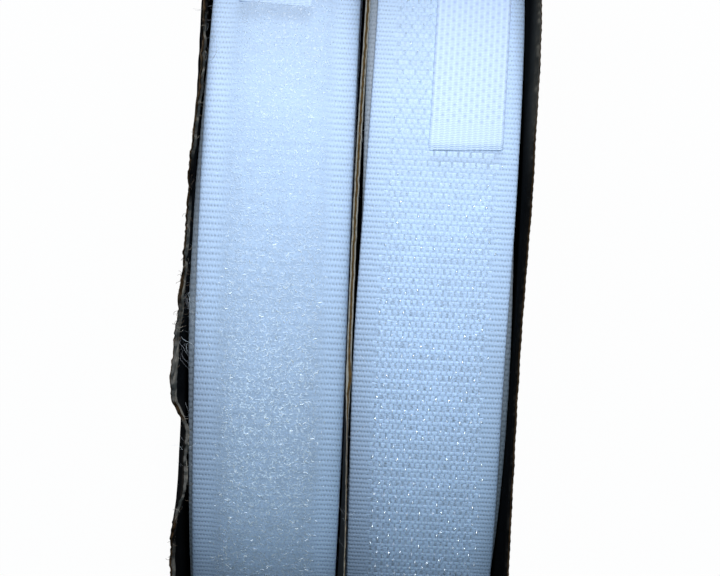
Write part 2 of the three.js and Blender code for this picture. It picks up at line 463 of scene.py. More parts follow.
class LooseFibres(Growth):
    """Sets a curled hair on each point, rising from it and drifting along."""

    def __init__(self, length: float, thickness: float, curl: float) -> None:
        """Builds the tree from a fibre's length, its thickness and how far it curls aside."""
        sizes = {"Length": length * MM, "Thickness": thickness * MM, "Curl": curl * MM}
        super().__init__("loose_fibres", sizes)
        curve, section = self.wire(9, 3, self.given("Thickness") * 0.5)
        way = self.along()
        aside = ((way * 5.0).sine() + (way * 11.0).sine() * 0.35) * self.given("Curl")
        up = (way * 2.6).sine() * self.given("Length") * 0.45
        bent = self.move(curve, Position=self.join(aside, way * self.given("Length") * 0.8, up))
        self.plant(self.sweep(bent, section))


def ripple(place: np.ndarray, pitch: float, seed: int) -> np.ndarray:
    """A smooth random line.

    Args:
        place: Where along the line.
        pitch: About how long its waves are.
        seed: Which line.

    Returns:
        Heights that mostly lie between -1 and 1.
    """
    draw = np.random.default_rng(seed)
    waves = draw.uniform(0.6, 1.9, 6)
    starts = draw.random(6)
    total = np.zeros_like(place, dtype=float)
    for wave, start in zip(waves, starts):
        total += np.sin(FULL_TURN * (place / (pitch * wave) + start))
    return total / 2.6


def bell(place: np.ndarray, middle: float, reach: float) -> np.ndarray:
    """A smooth hump of height 1 at middle that fades over reach."""
    return np.exp(-(((place - middle) / reach) ** 2))


def rise(place: np.ndarray, start: float, end: float) -> np.ndarray:
    """Rises smoothly from 0 at start to 1 at end."""
    share = np.clip((place - start) / (end - start), 0.0, 1.0)
    return share * share * (3.0 - 2.0 * share)


def triples(x: np.ndarray, y: np.ndarray, z: np.ndarray) -> np.ndarray:
    """Points or ways from their three coordinates, of which some may be plain numbers."""
    return np.stack(np.broadcast_arrays(x, y, z), axis=-1)


def new_piece(name: str, data: bpy.types.ID) -> bpy.types.Object:
    """Puts a mesh, a camera or a lamp in the scene as an object at the origin."""
    piece = bpy.data.objects.new(name, data)
    bpy.context.scene.collection.objects.link(piece)
    return piece


def keep_marks(mesh: bpy.types.Mesh, marks: Mapping[str, np.ndarray]) -> None:
    """Stores a number or a vector on each point of a mesh, under its name."""
    for name, values in marks.items():
        is_vector = values.ndim == 2
        mark = mesh.attributes.new(name, "FLOAT_VECTOR" if is_vector else "FLOAT", "POINT")
        mark.data.foreach_set("vector" if is_vector else "value", values.astype(np.float32).ravel())


def point_cloud(name: str, points: np.ndarray, marks: Mapping[str, np.ndarray]) -> bpy.types.Object:
    """Loose points for a Growth to plant on.

    Args:
        name: The piece's name.
        points: The points, in millimetres.
        marks: What the points carry.

    Returns:
        The object.
    """
    mesh = bpy.data.meshes.new(name)
    mesh.vertices.add(len(points))
    mesh.vertices.foreach_set("co", (points * MM).astype(np.float32).ravel())
    keep_marks(mesh, marks)
    return new_piece(name, mesh)


@dataclass
class SweptBody:
    """A closed body made of rings of points, one ring for each step of a path.

    Attributes:
        rings: The points, as steps by points of a ring by 3, in millimetres.
        looped: Whether the path closes on itself.
        ply: The material's place for each side of the ring.
        marks: What the points carry, as steps by points of a ring, or what spreads to that.
    """

    rings: np.ndarray
    looped: bool = False
    ply: Sequence[int] | None = None
    marks: dict[str, np.ndarray] = field(default_factory=dict)

    def faces(self) -> tuple[np.ndarray, list[np.ndarray]]:
        """The four-sided faces between the rings, and the faces that close an open path."""
        steps, sides, _ = self.rings.shape
        index = np.arange(steps * sides).reshape(steps, sides)
        first = index if self.looped else index[:-1]
        after = np.roll(index, -1, axis=0) if self.looped else index[1:]
        quads = np.stack([first, np.roll(first, -1, axis=1), np.roll(after, -1, axis=1), after], axis=-1)
        caps = [] if self.looped else [index[0][::-1], index[-1]]
        return quads.reshape(-1, 4), caps

    def piece(self, name: str, finishes: Sequence[bpy.types.Material]) -> bpy.types.Object:
        """Makes the object, shaded smooth, with its faces pointing out.

        Args:
            name: The piece's name.
            finishes: Its materials.

        Returns:
            The object.
        """
        points = self.rings.reshape(-1, 3)
        quads, caps = self.faces()
        corners = points[quads]
        spread = np.cross(corners[:, 2] - corners[:, 0], corners[:, 3] - corners[:, 1])
        centred = corners.mean(axis=1) - points.mean(axis=0)
        if np.einsum("ij,ij->", centred, spread) < 0.0:
            quads = quads[:, ::-1]
            caps = [cap[::-1] for cap in caps]
        mesh = bpy.data.meshes.new(name)
        loops = np.concatenate([quads.ravel(), *caps]).astype(np.int32)
        lengths = np.array([4] * len(quads) + [len(cap) for cap in caps])
        starts = np.concatenate([[0], np.cumsum(lengths)[:-1]]).astype(np.int32)
        mesh.vertices.add(len(points))
        mesh.vertices.foreach_set("co", (points * MM).astype(np.float32).ravel())
        mesh.loops.add(len(loops))
        mesh.loops.foreach_set("vertex_index", loops)
        mesh.polygons.add(len(lengths))
        mesh.polygons.foreach_set("loop_start", starts)
        if self.ply is not None:
            plies = np.resize(np.array(self.ply, dtype=np.int32), len(quads))
            plies = np.concatenate([plies, np.full(len(caps), Ply.CORE.value, np.int32)])
            mesh.polygons.foreach_set("material_index", plies)
        mesh.polygons.foreach_set("use_smooth", np.full(len(lengths), True))
        for finish in finishes:
            mesh.materials.append(finish)
        mesh.update(calc_edges=True)
        flat = {}
        for key, value in self.marks.items():
            spread = np.broadcast_to(value, self.rings.shape[:2] + value.shape[2:])
            flat[key] = spread.reshape((len(points), -1)).squeeze()
        keep_marks(mesh, flat)
        return new_piece(name, mesh)


PAPER = {"Specular IOR Level": 0.0}
CLOTH = {"Sheen Weight": 0.1}
NEAR_WALL = 12.0
AT_WALL = 16.0


class Ply(Enum):
    """The layers of a paperboard wall, in the order of its material slots."""

    OUTSIDE = 0
    CORE = 1
    INSIDE = 2


@dataclass(frozen=True)
class PaperFace:
    """One face of a paperboard: its colour, its flecks of fibre and its tooth.

    Attributes:
        name: The material's name.
        tint: The paper's colour.
        fleck: The colour of the stray fibres in it.
        fleck_share: How much of the face the stray fibres take.
        roughness: How dull the face is.
        tooth: How deep its surface grain is, in millimetres.
        grain: How far the fibres run along each axis, as a scale of the noise.
    """

    name: str
    tint: Colour
    fleck: Colour
    fleck_share: float
    roughness: float
    tooth: float
    grain: tuple[float, float, float] = (1.0, 0.25, 1.0)

    def look(self, paint: Paint) -> tuple[Flow, Flow, Flow]:
        """The face's colour, height and roughness in a material's graph."""
        spot = paint.place()
        fibres = paint.noise(paint.stretch(spot, self.grain), 3.2, 4.0)
        cloud = paint.noise(spot, 0.09, 3.0)
        speck = fibres.ease(0.72 - self.fleck_share, 0.76 - self.fleck_share * 0.5)
        toned = paint.shade(self.tint, 0.88 + cloud * 0.16 + (fibres - 0.5) * 0.14)
        tinted = paint.blend(toned, self.fleck, speck * 0.55)
        dull = self.roughness + (fibres - 0.5) * 0.2
        return tinted, fibres, dull

    def build(self) -> bpy.types.Material:
        """The material of a piece that shows this face alone."""
        paint = Paint(self.name)
        tinted, height, dull = self.look(paint)
        return paint.surface(tinted, dull, paint.bump(height, self.tooth), PAPER)

    @classmethod
    def like(cls, face: "PaperFace", name: str, **more: object) -> "PaperFace":
        """A face of another one's paper, under a new name and with more of its own."""
        return cls(**{**vars(face), "name": name, **more})


@dataclass(frozen=True)
class CoatedFace(PaperFace):
    """The dark outside of the carton, rubbed at its corners and torn below its top edge.

    Attributes:
        half_width: From the carton's middle to its side walls.
        half_depth: From the carton's middle to its front and rear walls.
        top: Where the walls end.
        bare: The colour of the board under the coating.
        rub_reach: How far from a corner the coating is rubbed.
    """

    half_width: float = 22.0
    half_depth: float = 75.0
    top: float = 153.0
    bare: Colour = colour(0.06, 0.042, 0.026)
    rub_reach: float = 2.2

    def build(self) -> bpy.types.Material:
        """The coated board's material, with its wear."""
        paint = Paint(self.name)
        tinted, height, dull = self.look(paint)
        spot = paint.place()
        x, y, z = paint.parts(spot)
        at_side = abs(x).ease(self.half_width - self.rub_reach, self.half_width)
        at_end = abs(y).ease(self.half_depth - self.rub_reach, self.half_depth)
        foot = z.ease(1.6, 0.1)
        rub = paint.noise(spot, 0.5, 4.0)
        worn = ((at_side * at_end + foot * 0.8) * rub).ease(0.42, 0.62)
        ragged = paint.noise(paint.stretch(spot, (1.0, 1.0, 0.35)), 0.32, 4.0)
        torn = (z - self.top + ragged * 7.0 + x.ease(0.0, -20.0) * 1.2).ease(2.6, 3.0)
        folded = x.ease(-NEAR_WALL, -AT_WALL) * y.ease(-18.0, -23.0) * y.ease(-42.0, -37.0)
        scratch = paint.noise(paint.stretch(spot, (1.0, 0.05, 1.0)), 0.9, 3.0).ease(0.68, 0.78)
        smudge = paint.noise(spot, 0.035, 3.0).ease(0.5, 0.75)
        dirty = paint.shade(tinted, 1 + scratch * 0.7 + smudge * 0.35)
        bared = worn.most(torn * (1 - folded * 0.9))
        tone = paint.blend(dirty, self.bare, bared * 0.9)
        normal = paint.bump(height * (0.25 + bared * 1.5) - bared * 0.6, self.tooth)
        gloss = z.ease(self.top - 12.0, self.top - 140.0) * (0.3 - smudge * 0.12) * (1 - bared)
        coat = {"Coat Weight": gloss, "Coat Roughness": 0.34}
        return paint.surface(tone, dull + bared * 0.4, normal, {**PAPER, **coat})


@dataclass(frozen=True)
class TornLiner(PaperFace):
    """The dark inside of the carton, painted paler grey in ragged patches along the torn left edge and near
    the top of the right wall at the rear, as light that falls there.

    Attributes:
        top: Where the walls end.
        bare: The paler grey that paints that light.
    """

    top: float = 153.0
    bare: Colour = colour(0.15, 0.145, 0.13)

    def build(self) -> bpy.types.Material:
        """The liner's material, with its ragged band of painted light."""
        paint = Paint(self.name)
        tinted, height, dull = self.look(paint)
        spot = paint.place()
        x, y, z = paint.parts(spot)
        ragged = paint.noise(paint.stretch(spot, (1.0, 1.0, 0.3)), 0.3, 4.0)
        patch = paint.noise(spot, 0.06, 2.0).ease(0.36, 0.5)
        # Ragged patches near the top of the left wall are painted paler grey, as light.
        torn = (z - self.top + ragged * 9.0).ease(1.4, 2.0) * x.ease(-NEAR_WALL, -AT_WALL) * patch
        near_top = z.ease(self.top - 12.0, self.top)
        # Near the top of the right wall at the rear the liner is painted paler grey, as light.
        rubbed = x.ease(NEAR_WALL, AT_WALL) * y.ease(6.0, 22.0) * near_top * (0.2 + ragged * 0.4)
        tone = paint.blend(tinted, self.bare, (torn * 0.9).most(rubbed))
        return paint.surface(tone, dull, paint.bump(height * (1 + torn * 2.0), self.tooth), PAPER)


@dataclass(frozen=True)
class TornCore(PaperFace):
    """The brown core of the carton's walls, made grey along a stretch of the torn left edge.

    Attributes:
        bare: The grey colour there.
        bare_from: Where the grey stretch starts, from the carton's middle to the rear.
        bare_to: Where it ends.
        fold: Where a brown fold crosses it.
    """

    bare: Colour = colour(0.085, 0.084, 0.08)
    bare_from: float = -5.0
    bare_to: float = -36.0
    fold: float = -21.6

    def build(self) -> bpy.types.Material:
        """The core's material, with its grey stretch."""
        paint = Paint(self.name)
        tinted, height, dull = self.look(paint)
        spot = paint.place()
        x, y, _ = paint.parts(spot)
        ragged = paint.noise(spot, 0.5, 4.0)
        begun = (y + ragged * 3.0).ease(self.bare_from, self.bare_from - 3.0)
        stretch = begun * y.ease(self.bare_to, self.bare_to + 2.0)
        folded = abs(y - self.fold + ragged - 0.5).ease(1.5, 0.8)
        rubbed = x.ease(NEAR_WALL, AT_WALL) * y.ease(14.0, 20.0) * 0.6
        bared = (stretch * (1 - folded) * x.ease(-NEAR_WALL, -AT_WALL)).most(rubbed)
        tone = paint.blend(tinted, paint.shade(self.bare, 0.8 + ragged * 0.4), bared)
        return paint.surface(tone, dull, paint.bump(height, self.tooth), PAPER)


@dataclass(frozen=True)
class ThreePlyBoard:
    """A flat board that shows one face outside, the other inside and its core along its edges.

    Attributes:
        name: The material's name.
        outside: The face on the outside.
        inside: The face on the inside.
        core: The cut edge.
        facing: Which way the outside looks.
    """

    name: str
    outside: PaperFace
    inside: PaperFace
    core: PaperFace
    facing: tuple[float, float, float]

    def build(self) -> bpy.types.Material:
        """The board's material."""
        paint = Paint(self.name)
        normal = paint.add("ShaderNodeTexCoord", output="Normal")
        both = {0: normal, 1: self.facing}
        dot = paint.add("ShaderNodeVectorMath", {"operation": "DOT_PRODUCT"}, both, "Value")
        is_outer = dot.ease(0.45, 0.55)
        is_face = abs(dot).ease(0.45, 0.55)
        looks = [face.look(paint) for face in (self.core, self.inside, self.outside)]
        tones, heights, dulls = zip(*looks)
        edge, inner, outer = tones
        tone = paint.blend(edge, paint.blend(inner, outer, is_outer), is_face)
        mixed = []
        for edge, inner, outer in (heights, dulls):
            faced = inner + (outer - inner) * is_outer
            mixed.append(edge + (faced - edge) * is_face)
        height, dull = mixed
        return paint.surface(tone, dull, paint.bump(height, self.inside.tooth), PAPER)


@dataclass(frozen=True)
class TubeCard:
    """Grey-brown card wound in a spiral, with a seam between its turns.

    Attributes:
        name: The material's name.
        tint: The card's colour.
        seam_pitch: How far the seam climbs in one turn.
        axis_height: The height of the tube's axis.
    """

    name: str
    tint: Colour
    seam_pitch: float
    axis_height: float

    def build(self) -> bpy.types.Material:
        """The card's material."""
        paint = Paint(self.name)
        spot = paint.place()
        x, y, z = paint.parts(spot)
        angle = y.math("ARCTAN2", y, z - self.axis_height) / FULL_TURN
        climb = (x / self.seam_pitch + angle).fraction()
        seam = abs(climb - 0.5).ease(0.035, 0.0)
        fibres = paint.noise(paint.stretch(spot, (1.0, 0.3, 0.3)), 3.0, 4.0)
        cloud = paint.noise(spot, 0.25, 3.0)
        radius = (y * y + (z - self.axis_height) ** 2.0) ** 0.5
        layer = (radius / 0.6 * FULL_TURN).cosine()
        toned = paint.shade(self.tint, 0.8 + cloud * 0.25 + fibres * 0.2 - seam * 0.45 + layer * 0.05)
        return paint.surface(toned, 0.82 + fibres * 0.1, paint.bump(fibres * 0.5 - seam, 0.12), PAPER)


# From the first of these places to the second, rear to front of the roll, the tapes' painted contrast,
# painted shade and painted glints grow, as the light grazes the front of the roll.
FACING_LIGHT_UNTIL = 24.0
GRAZING_LIGHT_FROM = -26.0


class Field(Enum):
    """What stands in the middle of a tape."""

    LOOPS = "loops"
    HOOKS = "hooks"


@dataclass(frozen=True)
class WovenTape:
    """White woven nylon: ribs across the tape, pinholes between them and a soft or a celled middle.

    Attributes:
        name: The material's name.
        tint: The nylon's colour.
        rib_pitch: From one rib to the next.
        hole_pitch: From one pinhole to the next along a rib.
        field_half: Half the width of the middle field.
        middle: What stands in the field.
        strip_end: Where the free end of the strip lies along the tape, in front of which a shadow is painted.
        strip_aside: How far the strip's middle lies from the tape's, to the right.
        dull: Between which lengths the tape under the outer turn is painted darker and greyer, as shade.
        strip_half: Half the strip's width.
        cell: The width of a woven cell, where the field has cells.
    """

    name: str
    tint: Colour
    rib_pitch: float
    hole_pitch: float
    field_half: float
    middle: Field
    strip_end: float
    strip_aside: float
    dull: tuple[float, float]
    strip_half: float = 5.0
    cell: float = 1.6

    def build(self) -> bpy.types.Material:
        """The tape's material."""
        paint = Paint(self.name)
        across, along = paint.mark("across"), paint.mark("along")
        spot = paint.join(across, along)
        ribs = along / self.rib_pitch
        crest = ((ribs - ribs.floor()) * math.pi).sine()
        near_hole = (across / self.hole_pitch + (ribs + 0.5).stagger()).wave()
        yarn = paint.noise(paint.stretch(spot, (3.0, 1.0, 1.0)), 2.6, 3.0)
        drift = paint.noise(spot, 0.12, 2.0)
        hole = (1 - crest) ** 1.1 * near_hole ** 1.4
        _, y, _ = paint.parts(paint.place())
        # front grows towards the front of the roll, where the light grazes; it deepens the painted shade in
        # the pinholes and brightens the painted glints.
        front = y.ease(FACING_LIGHT_UNTIL, GRAZING_LIGHT_FROM)
        # The rib valleys and the pinholes are painted darker, as the shade that lies in them.
        edge = 1.04 - (1 - crest) * 0.15 - hole * (0.2 + front * 0.12) + (yarn - 0.5) * 0.7
        wander = paint.noise(spot, 0.35, 2.0) * 1.6 - 0.8
        fade = 1.5 if self.middle is Field.LOOPS else 0.5
        inside = (abs(across) + wander).ease(self.field_half + fade * 0.6, self.field_half - fade)
        centre, tooth, fibre = self._field(paint, spot, crest, front)
        # The loop tape is painted up to 15 percent lighter at the very front of the roll, as light.
        painted_front_light = y.ease(-27.0, -42.0) * (0.15 if self.middle is Field.LOOPS else 0.0)
        # A soft shadow is painted in front of the strip's free end: the tape there is painted up to 15
        # percent darker.
        near_strip = abs(across - self.strip_aside).ease(self.strip_half + 0.5, self.strip_half - 0.8)
        pressed = near_strip * along.ease(self.strip_end - 3.0, self.strip_end - 0.9)
        # Where the second turn shows beside the outer one, it is painted in a darker grey tint, as the shade
        # it lies in.
        first, last = self.dull
        soft = 12.0
        painted_shade_band = along.ease(first - soft, first + soft) * along.ease(last + soft, last - soft)
        tone = (edge + (centre - edge) * inside) * (0.95 + drift * 0.1) * (1 - pressed * 0.15 + painted_front_light)
        toned = paint.shade(paint.blend(self.tint, PAINTED_SHADE_TINT, painted_shade_band), tone)
        # Bright fibres in the field are painted towards the gleam colour, as glints, more at the front; they
        # also mirror a little.
        glint = fibre * inside
        lit = paint.blend(toned, PILE_GLEAM, glint * (0.15 + front * 0.25))
        dull = 0.62 + (yarn - 0.5) * 0.2 - glint * 0.25
        normal = paint.bump(yarn * 0.3 - hole * (1 - inside) * 0.5 + tooth * inside * 0.5, 0.05)
        return paint.surface(lit, dull, normal, {**CLOTH, "Metallic": glint * front * 0.3})

    def _fibres(self, paint: Paint, spot: Flow, degrees: float) -> Flow:
        """1 on short fibres that lie at an angle to the tape, 0 between them."""
        across, along, _ = paint.parts(spot)
        cosine, sine = math.cos(math.radians(degrees)), math.sin(math.radians(degrees))
        turned = paint.join(across * cosine + along * sine, (along * cosine - across * sine) * 0.28, degrees)
        return paint.noise(turned, 4.6, 1.0).ease(0.59, 0.68)

    def _field(self, paint: Paint, spot: Flow, crest: Flow, front: Flow) -> tuple[Flow, Flow, Flow]:
        """The tone and the fine height of the middle field, and where bright fibres lie in it."""
        # The painted contrast of the field grows towards the front, where the light grazes.
        strength = 0.55 + front * 0.75
        if self.middle is Field.LOOPS:
            fuzz = paint.noise(spot, 3.4, 4.0)
            tuft = paint.noise(spot, 0.7, 2.0)
            first, second, third = (self._fibres(paint, spot, degrees) for degrees in (25, 95, 150))
            fibre = first.most(second).most(third)
            cloudy = ((fuzz - 0.5) * 0.6 + (tuft - 0.5) * 0.25) * strength
            # The loop field is painted up to 7 percent darker towards the front, and its rib valleys a little
            # darker, as shade.
            tone = 0.93 - front * 0.07 + cloudy - (1 - crest) * 0.03
            return tone, fuzz * 1.2 + tuft * 0.8 + fibre * 1.0, fibre
        across, along, _ = paint.parts(spot)
        pairs = along / (2 * self.rib_pitch)
        in_pair = pairs.fraction()
        bar = in_pair.ease(0.02, 0.1) * in_pair.ease(0.46, 0.38)
        stitch = abs((across / self.cell * FULL_TURN).cosine())
        dot = stitch ** 6.0
        beside = across / self.cell - pairs.stagger() - 0.25
        seam = abs((beside * math.pi).cosine()).ease(0.36, 0.1)
        fuzz = paint.noise(spot, 5.0, 3.0)
        # The holes in the bars and the seams between floats are painted darker, as the shade in them.
        weave = bar * (0.24 - dot * 0.26) - (1 - bar) * seam * 0.14
        tone = 0.87 + (weave + (fuzz - 0.5) * 1.2) * strength
        return tone, fuzz * 0.8 - dot * bar * 0.6, fuzz.ease(0.66, 0.78)


@dataclass(frozen=True)
class FloatYarn:
    """The bundled warp yarn of a woven cell.

    Attributes:
        name: The material's name.
        tint: The nylon's colour.
        strands: How many strands lie side by side in a float.
    """

    name: str
    tint: Colour
    strands: int

    def build(self) -> bpy.types.Material:
        """The yarn's material."""
        paint = Paint(self.name)
        x, _, _ = paint.parts(paint.mark("cell", "Vector"))
        strand = abs((x * self.strands * math.pi).sine())
        edge = abs(x).ease(0.48, 0.34)
        seam = abs(x).ease(0.09, 0.0)
        tone = paint.mark("tone")
        spot = paint.place()
        fluff = paint.noise(spot, 5.0, 3.0)
        _, y, _ = paint.parts(spot)
        # The painted contrast of the floats grows towards the front, where the light grazes.
        strength = 0.55 + y.ease(FACING_LIGHT_UNTIL, GRAZING_LIGHT_FROM) * 0.85
        # The floats' sides and their middle line are painted darker, as the shade in the gaps.
        weave = edge * 0.3 - 0.26 - seam * 0.22 + (tone - 0.5) * 0.12 + (strand - 0.6) * 0.05
        level = 0.97 + (weave + (fluff - 0.5) * 1.2) * strength
        normal = paint.bump(strand * 0.4 + fluff * 1.2, 0.04)
        return paint.surface(paint.shade(self.tint, level), 0.5 + (fluff - 0.5) * 0.3, normal, CLOTH)


@dataclass(frozen=True)
class ClearNylon:
    """Clear shiny nylon, as drawn for hooks and loose pile.

    Attributes:
        name: The material's name.
        tint: The nylon's colour.
        bright: The painted highlight colour of the fibres that catch the light.
        bright_share: How many fibres do.
        body: How much of the light the other fibres stop.
        roughness: How dull a fibre is.
        tips_only: Whether a fibre that catches the light does so at its bent tip alone.
        mirror: How much such a fibre throws back like a mirror.
    """

    name: str
    tint: Colour
    bright: Colour
    bright_share: float
    body: float
    roughness: float
    tips_only: bool = False
    mirror: float = 0.75

    def build(self) -> bpy.types.Material:
        """The fibre's material."""
        paint = Paint(self.name)
        tone = paint.mark("tone")
        # Fibres of high tone are painted in the bright colour, as glints, on top of their mirror and coat.
        gleam = tone.ease(1.0 - self.bright_share, 1.0 - self.bright_share * 0.6)
        if self.tips_only:
            way, _, _ = paint.parts(paint.mark("cell", "Vector"))
            gleam = gleam * way.ease(0.32, 0.5)
        cloud = paint.noise(paint.place(), 1.5, 2.0)
        plain = paint.shade(self.tint, 0.9 + tone * 0.12 + (cloud - 0.5) * 0.1)
        sockets = {
            "Base Color": paint.blend(plain, self.bright, gleam),
            "Roughness": self.roughness + (cloud - 0.5) * 0.1,
            "Metallic": gleam * self.mirror,
            "Coat Weight": gleam * 0.5,
            "Coat Roughness": 0.2,
            "Alpha": self.body + gleam * (1.0 - self.body),
            "IOR": 1.53,
        }
        return paint.dress(sockets)


@dataclass(frozen=True)
class KnitStrip:
    """The flat back of a woven strip: columns of zigzag stitches with blue-shaded holes between.

    Attributes:
        name: The material's name.
        tint: The nylon's colour.
        column: From one column to the next.
        stitch: From one stitch to the next along a column.
        hole_pitch: From one hole to the next along a column.
    """

    name: str
    tint: Colour
    column: float
    stitch: float
    hole_pitch: float

    def build(self) -> bpy.types.Material:
        """The strip's material."""
        paint = Paint(self.name)
        across, along = paint.mark("across"), paint.mark("along")
        columns = across / self.column
        lane = (columns.fraction() - 0.5) * 2.0
        slant = abs(lane) * 0.4
        zigzag = abs(((along / self.stitch + slant) * math.pi).sine())
        ridge = abs((columns * math.pi).sine())
        yarn = paint.noise(paint.join(across, along), 3.0, 3.0)
        near_row = (along / self.hole_pitch + columns.stagger()).wave()
        hole = ridge ** 2.4 * near_row ** 4.0 * paint.mark("pierced")
        level = 0.93 + zigzag * 0.2 + (1 - ridge) * 0.1 + (yarn - 0.5) * 0.25
        tone = paint.blend(paint.shade(self.tint, level), STITCH_SHADE, hole * 0.75 + ridge * 0.1)
        normal = paint.bump(zigzag * 0.7 + yarn * 0.3, 0.045)
        return paint.surface(tone, 0.6 + (yarn - 0.5) * 0.2, normal, CLOTH)


TAPE_TINT = colour(0.52, 0.7, 0.985)
STRIP_TINT = colour(0.57, 0.735, 0.985)
FIBRE_TINT = colour(0.72, 0.84, 0.98)
# The colour that paints glints on the fibres and in the loop field.
PILE_GLEAM = colour(0.78, 0.9, 1.0)
STITCH_SHADE = colour(0.45, 0.58, 0.93)
# The darker grey that paints the shade on the second turn.
PAINTED_SHADE_TINT = colour(0.29, 0.36, 0.45)
CARD_TINT = colour(0.36, 0.29, 0.21)
WHITE = colour(1.0, 1.0, 1.0)

OUTSIDE_FACE = PaperFace(
    "dark_coat",
    tint=colour(0.007, 0.007, 0.0075),
    fleck=colour(0.03, 0.027, 0.024),
    fleck_share=0.0,
    roughness=0.6,
    tooth=0.03,
)
# The carton's inside is made near black, as the shade inside the carton.
INSIDE_FACE = PaperFace(
    "dark_liner",
    tint=colour(0.01, 0.01, 0.01),
    fleck=colour(0.03, 0.026, 0.022),
    fleck_share=0.03,
    roughness=0.85,
    tooth=0.07,
)
TORN_FACE = PaperFace(
    "torn_core",
    tint=colour(0.026, 0.016, 0.008),
    fleck=colour(0.08, 0.055, 0.03),
    fleck_share=0.08,
    roughness=0.92,
    tooth=0.14,
)
CORE_FACE = PaperFace(
    "brown_core",
    tint=colour(0.088, 0.055, 0.022),
    fleck=colour(0.17, 0.12, 0.06),
    fleck_share=0.1,
    roughness=0.92,
    tooth=0.14,
)
# The partition's faces are made near black, as the shade they stand in.
DIVIDER_FACE = PaperFace(
    "partition_liner",
    tint=colour(0.06, 0.06, 0.062),
    fleck=colour(0.1, 0.09, 0.08),
    fleck_share=0.04,
    roughness=0.75,
    tooth=0.06,
)
PALE_EDGE = PaperFace(
    "pale_ply_edge",
    tint=colour(0.3, 0.295, 0.27),
    fleck=colour(0.2, 0.16, 0.11),
    fleck_share=0.08,
    roughness=0.85,
    tooth=0.08,
)

TORN_FIBRE = ClearNylon(
    "torn_fibre",
    tint=colour(0.05, 0.034, 0.02),
    bright=colour(0.2, 0.18, 0.15),
    bright_share=0.2,
    body=1.0,
    roughness=0.7,
    mirror=0.0,
)
WHITE_LINT = ClearNylon(
    "white_lint",
    tint=colour(0.42, 0.45, 0.5),
    bright=PILE_GLEAM,
    bright_share=0.2,
    body=0.5,
    roughness=0.5,
    mirror=0.2,
)
LOOSE_PILE = ClearNylon(
    "loose_pile",
    tint=FIBRE_TINT,
    bright=PILE_GLEAM,
    bright_share=0.5,
    body=0.14,
    roughness=0.42,
    mirror=0.3,
)
HOOK_WIRE = ClearNylon(
    "hook_wire",
    tint=FIBRE_TINT,
    bright=PILE_GLEAM,
    bright_share=0.68,
    body=0.06,
    roughness=0.2,
    tips_only=True,
)


def node_edges(node: str) -> tuple[np.ndarray, np.ndarray]:
    """A node's lowest and highest corners, in millimetres."""
    low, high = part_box(node)
    return np.array(low) / MM, np.array(high) / MM


@dataclass(frozen=True)
class Clump:
    """A clump of lint strands at the carton's top.

    Attributes:
        x: Its middle, from the carton's middle to the right.
        y: Its middle, from the carton's middle to the rear.
        spread: How far its strands lie apart along the edge.
        count: How many strands it has.
    """

    x: float
    y: float
    spread: float
    count: int


LINT_BAND = (147.5, 150.8)
LINT_CLUMPS = (
    Clump(x=-20.6, y=-8.0, spread=2.2, count=26),
    Clump(x=-20.9, y=-13.0, spread=1.5, count=12),
    Clump(x=-20.2, y=-26.0, spread=1.6, count=9),
    Clump(x=-20.4, y=24.0, spread=3.0, count=16),
    Clump(x=0.1, y=6.0, spread=12.0, count=10),
    Clump(x=0.5, y=-34.0, spread=9.0, count=10),
)


